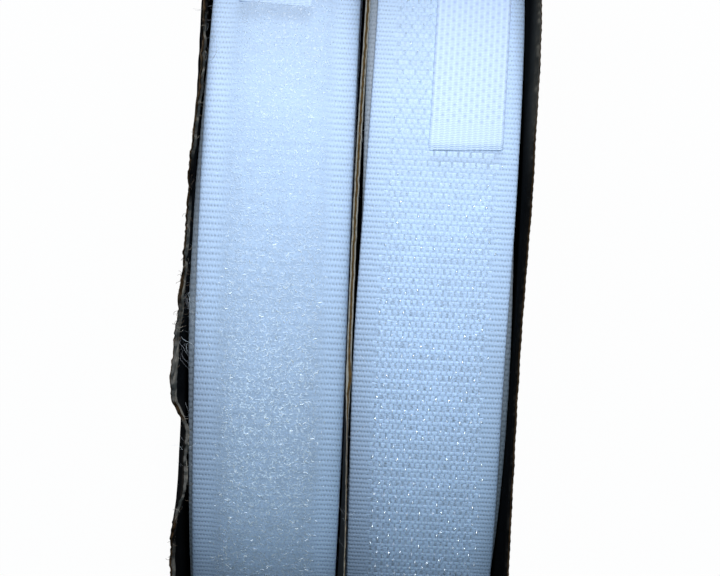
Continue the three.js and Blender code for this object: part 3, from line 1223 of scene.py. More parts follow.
@dataclass
class Carton:
    """The carton's wrapped walls, its base flaps and the ragged edge that the lid left.

    Attributes:
        board: The board's thickness.
        skin: The thickness of its dark outside, and of its inside liner.
        corner: The outside radius of an upright crease.
        bend_depth: How far below the top edge a bent wall starts to lean.
        softer: How much lower down the torn left wall does at the rear.
        sharper: How much nearer to the top edge it does at the front, compared with the rear.
        step: From one ring of points to the next along a side wall.
        end_step: The same along the front and rear walls.
        perforation: From one nick of a perforated edge to the next.
        levels: The heights of the rows of points on a wall's faces.
        body: The body that its pieces ride on.
        slot: Their material slot.
        walls: The nodes that the wrapped walls stand for.
    """

    board: float = 0.6
    skin: float = 0.13
    corner: float = 1.1
    bend_depth: float = 17.0
    softer: float = 7.0
    sharper: float = 8.0
    step: float = 0.28
    end_step: float = 0.6
    perforation: float = 1.05
    levels: tuple[float, ...] = (0.0, 0.9, 12.0, 45.0, 85.0, 118.0, 136.0, 140.0, 144.0, 147.0, 149.4)

    body: str = "carton"
    slot: str = "carton_board"
    walls: tuple[str, ...] = ("left_side_panel", "right_side_panel", "front_panel", "rear_panel")

    def __post_init__(self) -> None:
        """Takes the carton's reach from the frame."""
        _, right_high = node_edges("right_side_panel")
        _, rear_high = node_edges("rear_panel")
        self.half_width = float(right_high[0])
        self.half_depth = float(rear_high[1])
        self.top = float(rear_high[2])

    def lean(self, y: np.ndarray, is_left: bool) -> np.ndarray:
        """How far a side wall's top edge leans in at each place along it.

        Args:
            y: The places, from front to rear.
            is_left: Whether it is the torn left wall.

        Returns:
            The leans, in millimetres, at most about two.
        """
        ends = rise(-np.abs(y), -self.half_depth, -self.half_depth + 26.0)
        if is_left:
            fold = rise(y, -37.5, -30.5) * rise(-y, 20.5, 24.5)
            front = 0.3 * rise(-y, 37.0, 44.0)
            rear = 0.9 * rise(y, 8.0, 22.0) * rise(-y, -62.0, -44.0)
            bent = 0.88 + front + rear + 1.25 * fold
            bent = bent - bell(y, -17, 11) * rise(y, -22.6, -19.6) + 0.08 * ripple(y, 4.0, 11)
        else:
            bent = 0.62 - 0.66 * bell(y, 12, 17) - 0.4 * rise(y, 14.0, 27.0) + 0.02 * ripple(y, 6.0, 12)
        return bent * ends

    def outline(self) -> tuple[np.ndarray, np.ndarray]:
        """The walls' outer line seen from above, with the way out of it at each point."""
        inner_x = self.half_width - self.corner
        inner_y = self.half_depth - self.corner
        long_run = np.arange(-inner_y, inner_y, self.step)
        short_run = np.arange(-inner_x, inner_x, self.end_step)
        arc = np.linspace(0.0, math.pi / 2, 7)[:-1]
        points, ways = [], []
        for turn in range(4):
            out = np.array([math.cos(turn * math.pi / 2), math.sin(turn * math.pi / 2)])
            ahead = np.array([-out[1], out[0]])
            run = long_run if turn % 2 == 0 else short_run
            reach = self.half_width if turn % 2 == 0 else self.half_depth
            side = inner_y if turn % 2 == 0 else inner_x
            points.append(out * reach + np.outer(run, ahead))
            ways.append(np.tile(out, (len(run), 1)))
            middle = out * (reach - self.corner) + ahead * side
            swing = np.outer(np.cos(arc), out) + np.outer(np.sin(arc), ahead)
            points.append(middle + swing * self.corner)
            ways.append(swing)
        return np.concatenate(points), np.concatenate(ways)

    def left_share(self, ways: np.ndarray) -> np.ndarray:
        """1 where the way out points left and 0 elsewhere, eased round the corners."""
        return rise(-ways[:, 0], 0.2, 0.8)

    def scallops(self, run: np.ndarray) -> np.ndarray:
        """The perforation's even nicks along an edge, from 0 to 1."""
        return np.abs(np.sin(math.pi * run / self.perforation))

    def edge_heights(self, spots: np.ndarray, ways: np.ndarray) -> dict[Ply, np.ndarray]:
        """How high each layer of the board ends at each point of the outline."""
        run = np.where(np.abs(ways[:, 0]) > 0.5, spots[:, 1], spots[:, 0])
        left = self.left_share(ways)
        nicks = 0.16 * self.scallops(run) + 0.05 * ripple(run, 0.9, 21)
        torn = 0.85 + 0.75 * ripple(run, 7.0, 22) + 0.3 * ripple(run, 1.4, 23)
        drop = (1 - left) * nicks + left * np.clip(torn, 0.02, 2.2)
        core = drop + 0.12 * ripple(run, 0.8, 24) + left * np.clip(0.3 * ripple(run, 2.0, 25), -0.3, 0.5)
        liner = drop + (0.1 + 0.4 * left) * (0.5 + ripple(run, 3.0, 26))
        return {
            Ply.OUTSIDE: self.top - np.clip(drop, 0.0, 2.4),
            Ply.CORE: self.top - np.clip(core, 0.0, 2.6),
            Ply.INSIDE: self.top - np.clip(liner, 0.0, 2.8),
        }

    def bend(self, spots: np.ndarray, ways: np.ndarray, z: np.ndarray) -> np.ndarray:
        """How far the walls' points move to the right where the top edges lean in.

        Args:
            spots: The points of the outline.
            ways: The way out of it at each of them.
            z: The heights of the points over each of them.

        Returns:
            The moves, in millimetres, one for each height.
        """
        y = spots[:, 1]
        left = self.left_share(ways)
        from_left = self.lean(y, True) * np.clip(-ways[:, 0], 0, 1)
        from_right = -self.lean(y, False) * np.clip(ways[:, 0], 0, 1)
        aside = np.where(ways[:, 0] < 0.0, from_left, from_right)
        crease = self.softer - self.sharper * rise(-y, 0.0, 20.0) * rise(y, -46.0, -38.0)
        depth = (self.bend_depth + crease * left)[:, None]
        late = 1.6 + left * (0.7 - 1.1 * rise(-y, 16.0, 22.0))
        share = np.clip((z - self.top + depth) / depth, 0.0, 1.0) ** late[:, None]
        return aside[:, None] * share

    def build_walls(self, finishes: Sequence[bpy.types.Material]) -> bpy.types.Object:
        """The four walls as one wrapped board with three layers.

        Args:
            finishes: The materials of the outside, the core and the inside.

        Returns:
            The piece.
        """
        spots, ways = self.outline()
        ends = self.edge_heights(spots, ways)
        rows = len(self.levels)
        left = self.left_share(ways)
        thick = left * rise(-spots[:, 1], 1.0, 7.0) * rise(spots[:, 1], -39.0, -35.5)
        thin = 0.25
        liner_inset = thin + (self.board - self.skin - thin) * thick
        core_inset = 0.5 * (self.skin + liner_inset)
        crown = 0.06 * ripple(np.arange(len(spots)), 4.0, 31)
        rim = [
            ends[Ply.OUTSIDE],
            ends[Ply.OUTSIDE] - 0.02,
            ends[Ply.CORE],
            ends[Ply.CORE] + 0.05 + crown,
            ends[Ply.CORE],
            ends[Ply.INSIDE],
        ]
        even = np.ones(len(spots))
        columns = [(even * level, even * 0.0) for level in self.levels]
        insets = (even * 0.0, even * self.skin, even * self.skin, core_inset, liner_inset, liner_inset)
        columns += list(zip(rim, insets))
        columns.append((ends[Ply.INSIDE] - 0.02 - 0.5 * (1 - thick), even * self.board))
        columns += [(even * level, even * self.board) for level in self.levels[::-1]]
        z = np.stack([column[0] for column in columns], axis=1)
        inset = np.stack([column[1] for column in columns], axis=1)
        nicked = 0.06 * self.scallops(spots[:, 1])
        rough = left * 0.05 * ripple(np.arange(len(spots)), 3.0, 32) + (1 - left) * nicked
        is_rim = np.isin(np.arange(len(columns)), np.arange(rows, rows + len(rim)))
        push = inset + rough[:, None] * is_rim[None, :]
        flat = spots[:, None, :] - ways[:, None, :] * push[:, :, None]
        x = flat[:, :, 0] + self.bend(spots, ways, z)
        rings = triples(x, flat[:, :, 1], z)
        outside = [Ply.OUTSIDE.value] * (rows + 1)
        middle = [Ply.CORE.value] * 4
        inside = [Ply.INSIDE.value] * (rows + 1)
        ply = outside + middle + inside + [Ply.CORE.value]
        body = SweptBody(rings, looped=True, ply=ply)
        return body.piece("carton_walls", finishes)

    def build_fray(self, finish: bpy.types.Material) -> bpy.types.Object:
        """The brown fibres that stand out of the torn left edge."""
        draw = np.random.default_rng(41)
        count = 240
        y = draw.uniform(-self.half_depth + 4.0, self.half_depth - 4.0, count)
        y[: count // 3] = draw.normal(-7.5, 3.2, count // 3)
        x = -self.half_width + self.lean(y, True) + draw.uniform(0.1, self.board, count)
        z = self.top - draw.uniform(0.7, 1.8, count)
        ways = triples(draw.normal(0.0, 0.6, count), draw.normal(0.0, 0.6, count), 1.0)
        runs = triples(draw.normal(0.0, 1.0, count), draw.normal(0.0, 1.0, count), 0.0)
        scale = np.tile(draw.uniform(0.5, 1.4, count)[:, None], (1, 3))
        marks = {"rise": ways, "run": runs, "scale": scale, "tone": draw.random(count)}
        piece = point_cloud("torn_edge_fibres", triples(x, y, z), marks)
        return LooseFibres(length=0.8, thickness=0.04, curl=0.1).grow(piece, finish)

    def build_lint(self, finish: bpy.types.Material) -> bpy.types.Object:
        """The white strands of lint that cling to the torn edge and to the partition."""
        draw = np.random.default_rng(42)
        points, runs = [], []
        for clump in LINT_CLUMPS:
            count = clump.count
            x = draw.normal(clump.x, 0.5, count)
            y = draw.normal(clump.y, clump.spread, count)
            points.append(triples(x, y, draw.uniform(*LINT_BAND, count)))
            inward = np.abs(draw.normal(0, 0.4, count))
            runs.append(triples(inward, draw.normal(0, 1, count), draw.normal(0, 0.5, count)))
        cloud = np.concatenate(points)
        count = len(cloud)
        inward = np.abs(draw.normal(0, 0.7, count))
        ways = triples(inward, draw.normal(0, 0.7, count), 1.0)
        scale = np.tile(draw.uniform(0.5, 1.3, count)[:, None], (1, 3))
        marks = {"rise": ways, "run": np.concatenate(runs), "scale": scale, "tone": draw.random(count)}
        piece = point_cloud("lint_strands", cloud, marks)
        return LooseFibres(length=2.8, thickness=0.03, curl=0.3).grow(piece, finish)

    def dress_flaps(self) -> None:
        """Gives the base flaps and the glue flap their board."""
        down = ThreePlyBoard("base_board", OUTSIDE_FACE, INSIDE_FACE, CORE_FACE, (0.0, 0.0, -1.0)).build()
        back = ThreePlyBoard("glue_flap_board", OUTSIDE_FACE, INSIDE_FACE, CORE_FACE, (0.0, 1.0, 0.0)).build()
        for node in ("base_outer_flap", "base_inner_flap", "base_dust_flap_front", "base_dust_flap_rear"):
            dress_node(node, down)
        dress_node("glue_flap", back)

    def build(self) -> None:
        """Builds the carton and fastens its pieces to its body."""
        reach = {"half_width": self.half_width, "half_depth": self.half_depth, "top": self.top}
        coat = CoatedFace.like(OUTSIDE_FACE, "carton_outside", **reach)
        torn = TornCore.like(TORN_FACE, "carton_torn_core")
        liner = TornLiner.like(INSIDE_FACE, "carton_inside", top=self.top)
        walls = self.build_walls([face.build() for face in (coat, torn, liner)])
        settle(walls, self.body, self.slot, *self.walls)
        fray = TORN_FIBRE.build()
        settle(self.build_fray(fray), self.body, self.slot)
        lint = WHITE_LINT.build()
        settle(self.build_lint(lint), self.body, self.slot)
        self.dress_flaps()


def dress_node(node: str, finish: bpy.types.Material) -> None:
    """Gives a node of the frame its material."""
    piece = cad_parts[node]
    piece.data.materials.clear()
    piece.data.materials.append(finish)
    LOG.info("dressed %s", node)


def settle(piece: bpy.types.Object, body: str, slot: str, *nodes: str) -> None:
    """Fastens a piece to its body and hides the nodes that it stands for."""
    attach(piece, body)
    if nodes:
        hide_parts(*nodes)
    LOG.info("%s rides on %s with %d faces", piece.name, body, len(piece.data.polygons))


@dataclass
class Partition:
    """The board between the two lanes, bowed along its top, with a crushed nick in its edge.

    Attributes:
        skin: The thickness of its pale faces.
        step: From one ring of points to the next.
        nick: Where the crushed nick is, from the carton's middle to the rear.
        bow_depth: How far below the top edge the bow starts.
        body: The body that its pieces ride on.
        slot: Their material slot.
        node: The node that the panel stands for.
    """

    skin: float = 0.16
    step: float = 0.25
    nick: float = -16.2
    bow_depth: float = 26.0

    body: str = "carton"
    slot: str = "partition_board"
    node: str = "partition_panel"

    def bow(self, y: np.ndarray) -> np.ndarray:
        """How far the top edge bows to the right at each place along it."""
        bowed = 0.86 * bell(y, -43, 19) + 0.2 * bell(y, 33, 11) - 0.07 * bell(y, 5, 14)
        return bowed + 0.02 * ripple(y, 3.0, 51)

    def build_panel(self, finishes: Sequence[bpy.types.Material]) -> bpy.types.Object:
        """The upright panel with its three layers.

        Args:
            finishes: The materials of the faces, the core and the pale cut edge of the face paper.

        Returns:
            The piece.
        """
        low, high = node_edges(self.node)
        y = np.arange(low[1], high[1] + self.step / 2, self.step)
        half = (high[0] - low[0]) / 2
        middle = (high[0] + low[0]) / 2
        crush = bell(y, self.nick, 1.3)
        past = rise(-y, -self.nick - 0.5, -self.nick + 1.2)
        ragged = 0.1 * ripple(y, 1.1, 52)
        left_top = high[2] - 0.05 - 0.06 * np.abs(ripple(y, 2.0, 53))
        core_top = high[2] - 0.12 - ragged * 0.8 + 0.1 * crush
        right_top = high[2] - 0.08 - 0.06 * np.abs(ripple(y, 2.0, 54)) - 0.55 * past - 0.9 * crush
        bulge = 0.28 * crush
        levels = np.append(np.linspace(low[2], high[2] - 10.0, 6), [high[2] - 5.0, high[2] - 2.0])
        count = len(y)
        columns = [(-half, np.full(count, level), 0.0) for level in levels]
        columns += [
            (-half, left_top, 0.0),
            (-half + self.skin, left_top - 0.02, 0.0),
            (-half + self.skin, core_top, 0.6),
            (0.0, core_top + 0.05, 1.0),
            (half - self.skin, core_top, 1.0),
            (half - self.skin, right_top, 1.0),
            (half, right_top - 0.02, 0.6),
        ]
        columns += [(half, np.full(count, level), 0.0) for level in levels[::-1]]
        offsets = np.array([column[0] for column in columns])
        z = np.stack([column[1] for column in columns], axis=1)
        swell = np.array([column[2] for column in columns])
        share = np.clip((z - (high[2] - self.bow_depth)) / self.bow_depth, 0.0, 1.0) ** 1.5
        past_nick = rise(-y, -self.nick, -self.nick + 8.0)[:, None]
        pinch = 1.0 - 0.72 * past_nick * rise(z, high[2] - 10.0, high[2] - 2.0)
        crumple = (bulge + 0.03 * ripple(y, 1.3, 55))[:, None] * swell
        x = middle + offsets[None, :] * pinch + self.bow(y)[:, None] * share + crumple
        rings = triples(x, y[:, None], z)
        face, core, pale = (ply.value for ply in Ply)
        rim = [pale, pale] + [core] * 3 + [pale]
        ply = [face] * len(levels) + rim + [face] * len(levels) + [core]
        return SweptBody(rings, ply=ply).piece("partition_wall", finishes)

    def build(self) -> None:
        """Builds the panel and fastens it, and dresses the flanges."""
        finishes = [face.build() for face in (DIVIDER_FACE, CORE_FACE, PALE_EDGE)]
        settle(self.build_panel(finishes), self.body, self.slot, self.node)
        board = ThreePlyBoard("flange_board", DIVIDER_FACE, DIVIDER_FACE, CORE_FACE, (0.0, 1.0, 0.0)).build()
        for flange in ("partition_front_flange", "partition_rear_flange"):
            dress_node(flange, board)


@dataclass
class CardTube:
    """The card tube that a tape is wound on.

    Attributes:
        node: The tube's node.
        body: The body that it rides on.
        wall: The thickness of its card.
        lip: How far the card is pressed in at its cut ends.
        sides: How many flat sides its round has.
        seam_pitch: How far its seam climbs in one turn.
        slot: Its material slot.
    """

    node: str
    body: str
    wall: float = 1.8
    lip: float = 0.35
    sides: int = 120
    seam_pitch: float = 15.0

    slot: str = "core_card"

    def build(self) -> None:
        """Builds the tube with its rounded and slightly burred ends."""
        low, high = node_edges(self.node)
        axis_height = (low[2] + high[2]) / 2
        outer = (high[2] - low[2]) / 2
        inner = outer - self.wall
        left, right = low[0], high[0]
        lip = self.lip
        middle = (left + right) / 2
        sag = 0.02
        rim = [(lip, outer), (lip * 0.3, outer - lip * 0.2), (0.0, outer - lip * 0.8)]
        rim.append((0.06, (inner + outer) / 2))
        rim += [(0.0, inner + lip * 0.8), (lip * 0.3, inner + lip * 0.2), (lip, inner)]
        profile = [(left + inset, height) for inset, height in rim]
        profile.append((middle, inner - sag))
        profile += [(right - inset, height) for inset, height in rim[::-1]]
        profile.append((middle, outer - sag))
        x, radius = np.array(profile).T
        angles = np.linspace(0.0, FULL_TURN, self.sides, endpoint=False)[:, None]
        burr = 0.05 * ripple(np.arange(self.sides), 5.0, 61)
        at_end = np.abs(x - middle) > (right - left) / 2 - lip * 0.9
        reach = radius[None, :] + burr[:, None] * at_end
        rings = triples(x[None, :], -reach * np.sin(angles), axis_height + reach * np.cos(angles))
        card = TubeCard(f"{self.node}_card", CARD_TINT, self.seam_pitch, float(axis_height)).build()
        piece = SweptBody(rings, looped=True).piece(f"{self.node}_tube", [card])
        settle(piece, self.body, self.slot, self.node)


@dataclass(frozen=True)
class Drift:
    """A stretch of a winding that lies to one side.

    Attributes:
        middle: Where it is, in turns from the tape's outer end.
        reach: How far it fades to each side, in turns.
        aside: How far it lies aside, to the right where positive.
    """

    middle: float
    reach: float
    aside: float


@dataclass(frozen=True)
class Winding:
    """The spiral that a tape is wound in.

    Attributes:
        lane: Where the tape's middle would lie without drift.
        axis_height: The height of the roll's axis.
        first_radius: Where the tape starts on its tube.
        pitch: From one turn to the next.
        turns: How many turns there are.
        end_angle: Where the tape's outer end is, from the top of the roll towards the front.
        drifts: Where the turns lie aside.
        slack: How far the second turn stands up where it shows beside the outer one.
        shown: From where to where it shows, in turns from the tape's outer end.
        loose: From where to where it stands up at all.
    """

    lane: float
    axis_height: float
    first_radius: float
    pitch: float
    turns: float
    end_angle: float
    drifts: tuple[Drift, ...]
    slack: float = 1.15
    shown: tuple[float, float] = (1.68, 2.0)
    loose: tuple[float, float] = (1.58, 2.1)

    def radius(self, back: np.ndarray) -> np.ndarray:
        """The tape's inner radius, so many turns back from its outer end."""
        return self.first_radius + self.pitch * (self.turns - back)

    def shift(self, back: np.ndarray) -> np.ndarray:
        """How far the tape lies aside there."""
        aside = 0.22 * np.sin(FULL_TURN * back * 0.37) * rise(back, 2.0, 3.0)
        for drift in self.drifts:
            aside = aside + drift.aside * bell(back, drift.middle, drift.reach)
        return aside

    def loosened(self, back: np.ndarray) -> np.ndarray:
        """How far the tape stands up there from its even spiral."""
        begun = rise(back, self.loose[0], self.shown[0])
        return self.slack * begun * rise(-back, -self.loose[1], -self.shown[1])

    def length(self, back: np.ndarray) -> np.ndarray:
        """How much tape there is from its outer end to so many turns back."""
        return FULL_TURN * (self.radius(np.zeros_like(back)) * back - self.pitch * back**2 / 2)

    def run(self, turns: float) -> float:
        """The same for one place."""
        return float(self.length(np.array(turns)))

    def back(self, length: np.ndarray) -> np.ndarray:
        """How many turns back from the outer end a length of tape reaches."""
        outer = self.first_radius + self.pitch * self.turns
        return (outer - np.sqrt(outer**2 - self.pitch * length / math.pi)) / self.pitch

    def angle(self, back: np.ndarray) -> np.ndarray:
        """The angle there, from the top of the roll towards the front."""
        return self.end_angle - FULL_TURN * back

    def out(self, back: np.ndarray) -> np.ndarray:
        """The way out of the roll there."""
        angle = self.angle(back)
        return triples(0.0, -np.sin(angle), np.cos(angle))

    def ahead(self, back: np.ndarray) -> np.ndarray:
        """The way along the tape there, away from its outer end."""
        angle = self.angle(back)
        return triples(0.0, np.cos(angle), np.sin(angle))

    def place(self, across: np.ndarray, back: np.ndarray, height: np.ndarray) -> np.ndarray:
        """Points on the winding.

        Args:
            across: How far from the tape's middle, to the right.
            back: How many turns back from the outer end.
            height: How far above the tape's inner face.

        Returns:
            The points, in millimetres.
        """
        radius = self.radius(back) + self.loosened(back) + height
        angle = self.angle(back)
        x = self.lane + self.shift(back) + across
        return triples(x, -radius * np.sin(angle), self.axis_height + radius * np.cos(angle))


@dataclass
class EndStrip:
    """The narrow strip that lies on a roll from the tape's end, its free end pressed down.

    Attributes:
        length: The strip's length.
        aside: How far its free end lies from the lane's middle, to the right.
        slant: How far it moves aside for each millimetre back from its free end.
        taper: How much narrower its free end is, as a share of its width.
        skew: How much longer it is at its right corner.
        dip: How far its free end is pressed down.
        width: Its width.
        thickness: Its thickness.
        seat: How far its underside lies above the tape's ground.
        column: From one column of stitches to the next.
        column_height: How far a column stands up.
        stitch: From one stitch to the next along a column.
        hole_pitch: From one hole to the next along a column.
        hole_depth: How deep a hole is.
        plain_end: How much of its free end has no holes.
    """

    length: float
    aside: float
    slant: float
    taper: float
    skew: float
    dip: float

    width: float = 10.0
    thickness: float = 0.3
    seat: float = 0.22
    column: float = 0.755
    column_height: float = 0.05
    stitch: float = 0.24
    hole_pitch: float = 1.5
    hole_depth: float = 0.07
    plain_end: float = 3.4

    def build(self, side: str, winding: Winding, ground: float) -> None:
        """Builds the strip and fastens it to the tape.

        Args:
            side: The roll's name.
            winding: The roll's spiral.
            ground: How thick the tape under the strip is.
        """
        half = self.width / 2
        fine = np.linspace(-half, half, round(self.width / 0.1) + 1)
        across = np.concatenate([fine, [half - 0.05, -half + 0.05]])
        soft_edge = np.concatenate([0.16 * bell(np.abs(fine), half, 0.22), [0.0, 0.0]])
        lift = np.concatenate([np.ones(len(fine)), [0.0, 0.0]])
        share = np.linspace(0.0, 1.0, round(self.length / 0.12) + 1)
        ends = self.length + self.skew * across / self.width
        along = 0.4 + share[:, None] * (ends - 0.4)[None, :]
        seat = ground + self.seat
        back = 1.0 - along / (FULL_TURN * (winding.radius(np.array(1.0)) + seat))
        dip = self.dip * rise(along, self.length - 6.0, self.length)
        aside = self.aside + self.slant * np.minimum(self.length - along, 28.0)
        soft_end = 0.2 * bell(ends[None, :] - along, 0.0, 0.5)
        tall = np.where(lift > 0.5, self.thickness - soft_end - soft_edge - dip, -self.seat)
        narrow = 1.0 - self.taper * rise(along, self.length - 26.0, self.length)
        rings = winding.place(across[None, :] * narrow + aside - winding.shift(back), back, seat + tall)
        stitched = rise(ends[None, :] - along, self.plain_end - 0.3, self.plain_end + 0.3)
        marks = {
            "across": across[None, :],
            "along": along,
            "lift": winding.out(back) * lift[None, :, None],
            "pierced": stitched * (lift > 0.5)[None, :],
        }
        knit = KnitStrip(f"{side}_strip_back", STRIP_TINT, self.column, self.stitch, self.hole_pitch)
        finish = knit.build()
        piece = SweptBody(rings, marks=marks).piece(f"{side}_back_strip", [finish])
        relief = StripRelief(self.column, self.column_height, self.hole_pitch, self.hole_depth)
        relief.grow(piece, finish)
        settle(piece, f"{side}_tape", "end_strip", f"{side}_end_strip")


@dataclass
class TapeRoll:
    """One roll of woven tape: its wound ground, what stands on it and the strip at its end.

    Attributes:
        side: The side's name, which its pieces start with.
        middle: What stands in the tape's field.
        drifts: Where the winding lies aside.
        rib_pitch: From one rib to the next.
        strip: The strip at its end.
        width: The tape's width.
        ground: The thickness of its ground.
        field_half: Half the width of its field.
        pitch: From one turn to the next.
        turns: How many turns there are.
        seat: How far above the tube the tape starts.
        end_angle: Where its outer end is, from the top of the roll towards the front.
        overlap: How many turns the outer piece of the ground has.
        cell: From one woven cell to the next across the field.
    """

    side: str
    middle: Field
    drifts: tuple[Drift, ...]
    rib_pitch: float
    strip: EndStrip

    width: float = 20.0
    ground: float = 0.75
    field_half: float = 7.0
    pitch: float = 2.35
    turns: float = 21.0
    seat: float = 0.3
    end_angle: float = math.radians(303)
    overlap: float = 1.03
    cell: float = 1.6

    def __post_init__(self) -> None:
        """Takes the roll's axis from its tube."""
        low, high = node_edges(f"{self.side}_core")
        self.body = f"{self.side}_tape"
        self.slot = f"{self.side}_tape"
        self.node = f"{self.side}_winding"
        self.winding = Winding(
            lane=float((low[0] + high[0]) / 2),
            axis_height=float((low[2] + high[2]) / 2),
            first_radius=float((high[2] - low[2]) / 2) + self.seat,
            pitch=self.pitch,
            turns=self.turns,
            end_angle=self.end_angle,
            drifts=self.drifts,
        )

    def section(self) -> tuple[np.ndarray, np.ndarray, np.ndarray]:
        """The tape's cross section: places across, heights, and how far each point lifts with the ribs."""
        half = self.width / 2
        edge = np.array([half, half - 0.05, half - 0.2, half - 0.6, half - 1.5, half - 2.3])
        field_side = np.array([self.field_half + 0.1, self.field_half - 0.7, self.field_half - 2.2, 3.0, 1.5])
        side = np.concatenate([edge, field_side])
        top = np.concatenate([-side, [0.0], side[::-1]])
        sunk = np.array([0.3, 0.12, 0.03, 0.0, 0.0, 0.0])
        bare = np.zeros(len(field_side))
        drop = np.concatenate([sunk, bare, [0.0], bare, sunk[::-1]])
        crown = self.crown_at(top)
        under = np.array([half - 0.05, 0.0, -half + 0.05])
        across = np.concatenate([top, under])
        height = np.concatenate([self.ground - drop + crown, np.zeros(len(under))])
        lift = np.concatenate([np.ones(len(top)), np.zeros(len(under))])
        lift[[0, len(top) - 1]] = 0.5
        return across, height, lift

    def crown_at(self, across: np.ndarray) -> np.ndarray:
        """How far the field stands above the bare edges at each place across the tape."""
        tall = 0.42 if self.middle is Field.LOOPS else 0.05
        return tall * rise(-np.abs(across), -self.field_half - 0.6, -self.field_half + 2.2)

    def band(self, name: str, lengths: np.ndarray, finish: bpy.types.Material) -> bpy.types.Object:
        """A stretch of the wound ground with its ribs.

        Args:
            name: The piece's name.
            lengths: Where its rings are, along the tape.
            finish: Its material.

        Returns:
            The piece.
        """
        across, height, lift = self.section()
        back = self.winding.back(lengths)
        rings = self.winding.place(across[None, :], back[:, None], height[None, :])
        lifts = self.winding.out(back)[:, None, :] * lift[None, :, None]
        marks = {"across": across[None, :], "along": lengths[:, None], "lift": lifts}
        piece = SweptBody(rings, marks=marks).piece(name, [finish])
        edge, tall = (0.024, 0.012) if self.middle is Field.LOOPS else (0.035, 0.045)
        return RibRelief(self.rib_pitch, edge, tall, self.field_half).grow(piece, finish)

    def ring_lengths(self, first: float, last: float, fine: bool) -> np.ndarray:
        """Where rings go along a stretch, five to a rib or, if not fine, on one crest in five."""
        start = math.ceil(first / self.rib_pitch)
        stop = math.floor(last / self.rib_pitch)
        if fine:
            return np.arange(start * 5, stop * 5 + 1) * self.rib_pitch / 5
        return (np.arange(start, stop, 5) + 0.5) * self.rib_pitch

    def build_ground(self, finish: bpy.types.Material) -> None:
        """The wound ground: the outer turn and the turns under it."""
        whole = self.winding.run(self.turns)
        outer_end = self.winding.run(self.overlap)
        bare_start, bare_end = (self.winding.run(turn) for turn in self.winding.shown)
        outer = self.band(f"{self.side}_outer_turn", self.ring_lengths(0.0, outer_end, True), finish)
        lengths = np.concatenate(
            [
                self.ring_lengths(outer_end + self.rib_pitch, bare_start - self.rib_pitch, False),
                self.ring_lengths(bare_start, bare_end, True),
                self.ring_lengths(bare_end + self.rib_pitch, whole - 0.5, False),
            ]
        )
        inner = self.band(f"{self.side}_inner_turns", lengths, finish)
        for piece, run in ((outer, outer_end), (inner, whole - outer_end)):
            settle(piece, self.body, self.slot, self.node)

    def build_filling(self, finish: bpy.types.Material) -> None:
        """What stands between the inner turns, pressed flat, set back from the tape's edges."""
        half = self.field_half
        across = np.array([-half, -half, half, half])
        height = np.array([self.ground, self.pitch - 0.05, self.pitch - 0.05, self.ground])
        back = np.linspace(self.overlap + 0.02, self.turns - 0.05, 1500)
        low = height[None, :] - self.winding.loosened(back)[:, None]
        rings = self.winding.place(across[None, :], back[:, None], low)
        marks = {"across": across[None, :], "along": self.winding.length(back)[:, None]}
        piece = SweptBody(rings, marks=marks).piece(f"{self.side}_pressed_{self.middle.value}", [finish])
        settle(piece, self.body, self.slot)

    def planted(
        self,
        name: str,
        across: np.ndarray,
        lengths: np.ndarray,
        height: np.ndarray | float,
        marks: dict[str, np.ndarray],
    ) -> bpy.types.Object:
        """Points on the outer turn for things to stand on.

        Args:
            name: The piece's name.
            across: How far each point lies from the tape's middle.
            lengths: Where it is along the tape.
            height: How far above the ground's inner face.
            marks: What the points carry, apart from the way out.

        Returns:
            The points.
        """
        back = self.winding.back(lengths)
        points = self.winding.place(across, back, height)
        return point_cloud(name, points, {"rise": self.winding.out(back), **marks})

    def turned(self, lengths: np.ndarray, angles: np.ndarray) -> np.ndarray:
        """The ways that lie at an angle to the tape's run, flat on the tape."""
        ahead = self.winding.ahead(self.winding.back(lengths))
        aside = np.array([1.0, 0.0, 0.0])
        return ahead * np.cos(angles)[:, None] + aside * np.sin(angles)[:, None]

    def forward(self, lengths: np.ndarray) -> np.ndarray:
        """A factor on the fibres' tone, less at the rear than at the front, so that more fibres get the
        painted glint where the light grazes the roll.
        """
        way = self.winding.out(self.winding.back(lengths))
        return 0.5 + 0.5 * rise(-way[:, 1], -0.35, 0.45) + 0.35 * rise(-way[:, 1], 0.38, 0.6)

    def build_pile(self, finish: bpy.types.Material) -> None:
        """The loose loops of the loop tape, in pieces of a size that files hold."""
        whole = self.winding.run(1.0)
        draw = np.random.default_rng(71)
        for part in range(3):
            count = 9000
            across = draw.uniform(-1.0, 1.0, count) * self.field_half + draw.normal(0.0, 0.7, count)
            lengths = draw.uniform(1.0, whole - 1.0, count)
            angles = draw.uniform(0.0, math.pi, count)
            size = 0.4 + 1.1 * draw.random(count) ** 2
            scale = triples(size, size, size * draw.uniform(0.4, 1.2, count))
            upright = np.array([0.0, 0.0, 1.3])
            tilt = draw.normal(0.0, 0.5, (count, 3))
            marks = {
                "run": self.turned(lengths, angles),
                "scale": scale,
                "tone": draw.random(count) * self.forward(lengths),
                "rise": self.winding.out(self.winding.back(lengths)) + upright + tilt,
            }
            seat = self.ground + self.crown_at(across) - 0.03
            piece = self.planted(f"{self.side}_pile_{part + 1}", across, lengths, seat, marks)
            PileLoops(span=0.48, height=0.06, thickness=0.13).grow(piece, finish)
            piece.visible_shadow = False
            settle(piece, self.body, self.slot)

    def cell_rows(self) -> tuple[np.ndarray, np.ndarray]:
        """The middles of the woven cells: places across and lengths."""
        whole = self.winding.run(1.0)
        rows = np.arange(1, int(whole / (2 * self.rib_pitch)) - 1)
        columns = np.arange(-5, 5)
        row, column = np.meshgrid(rows, columns, indexing="ij")
        across = (column + 0.5 * (row % 2) + 0.25) * self.cell
        lengths = (row + 0.71) * 2 * self.rib_pitch
        return across.ravel(), lengths.ravel()

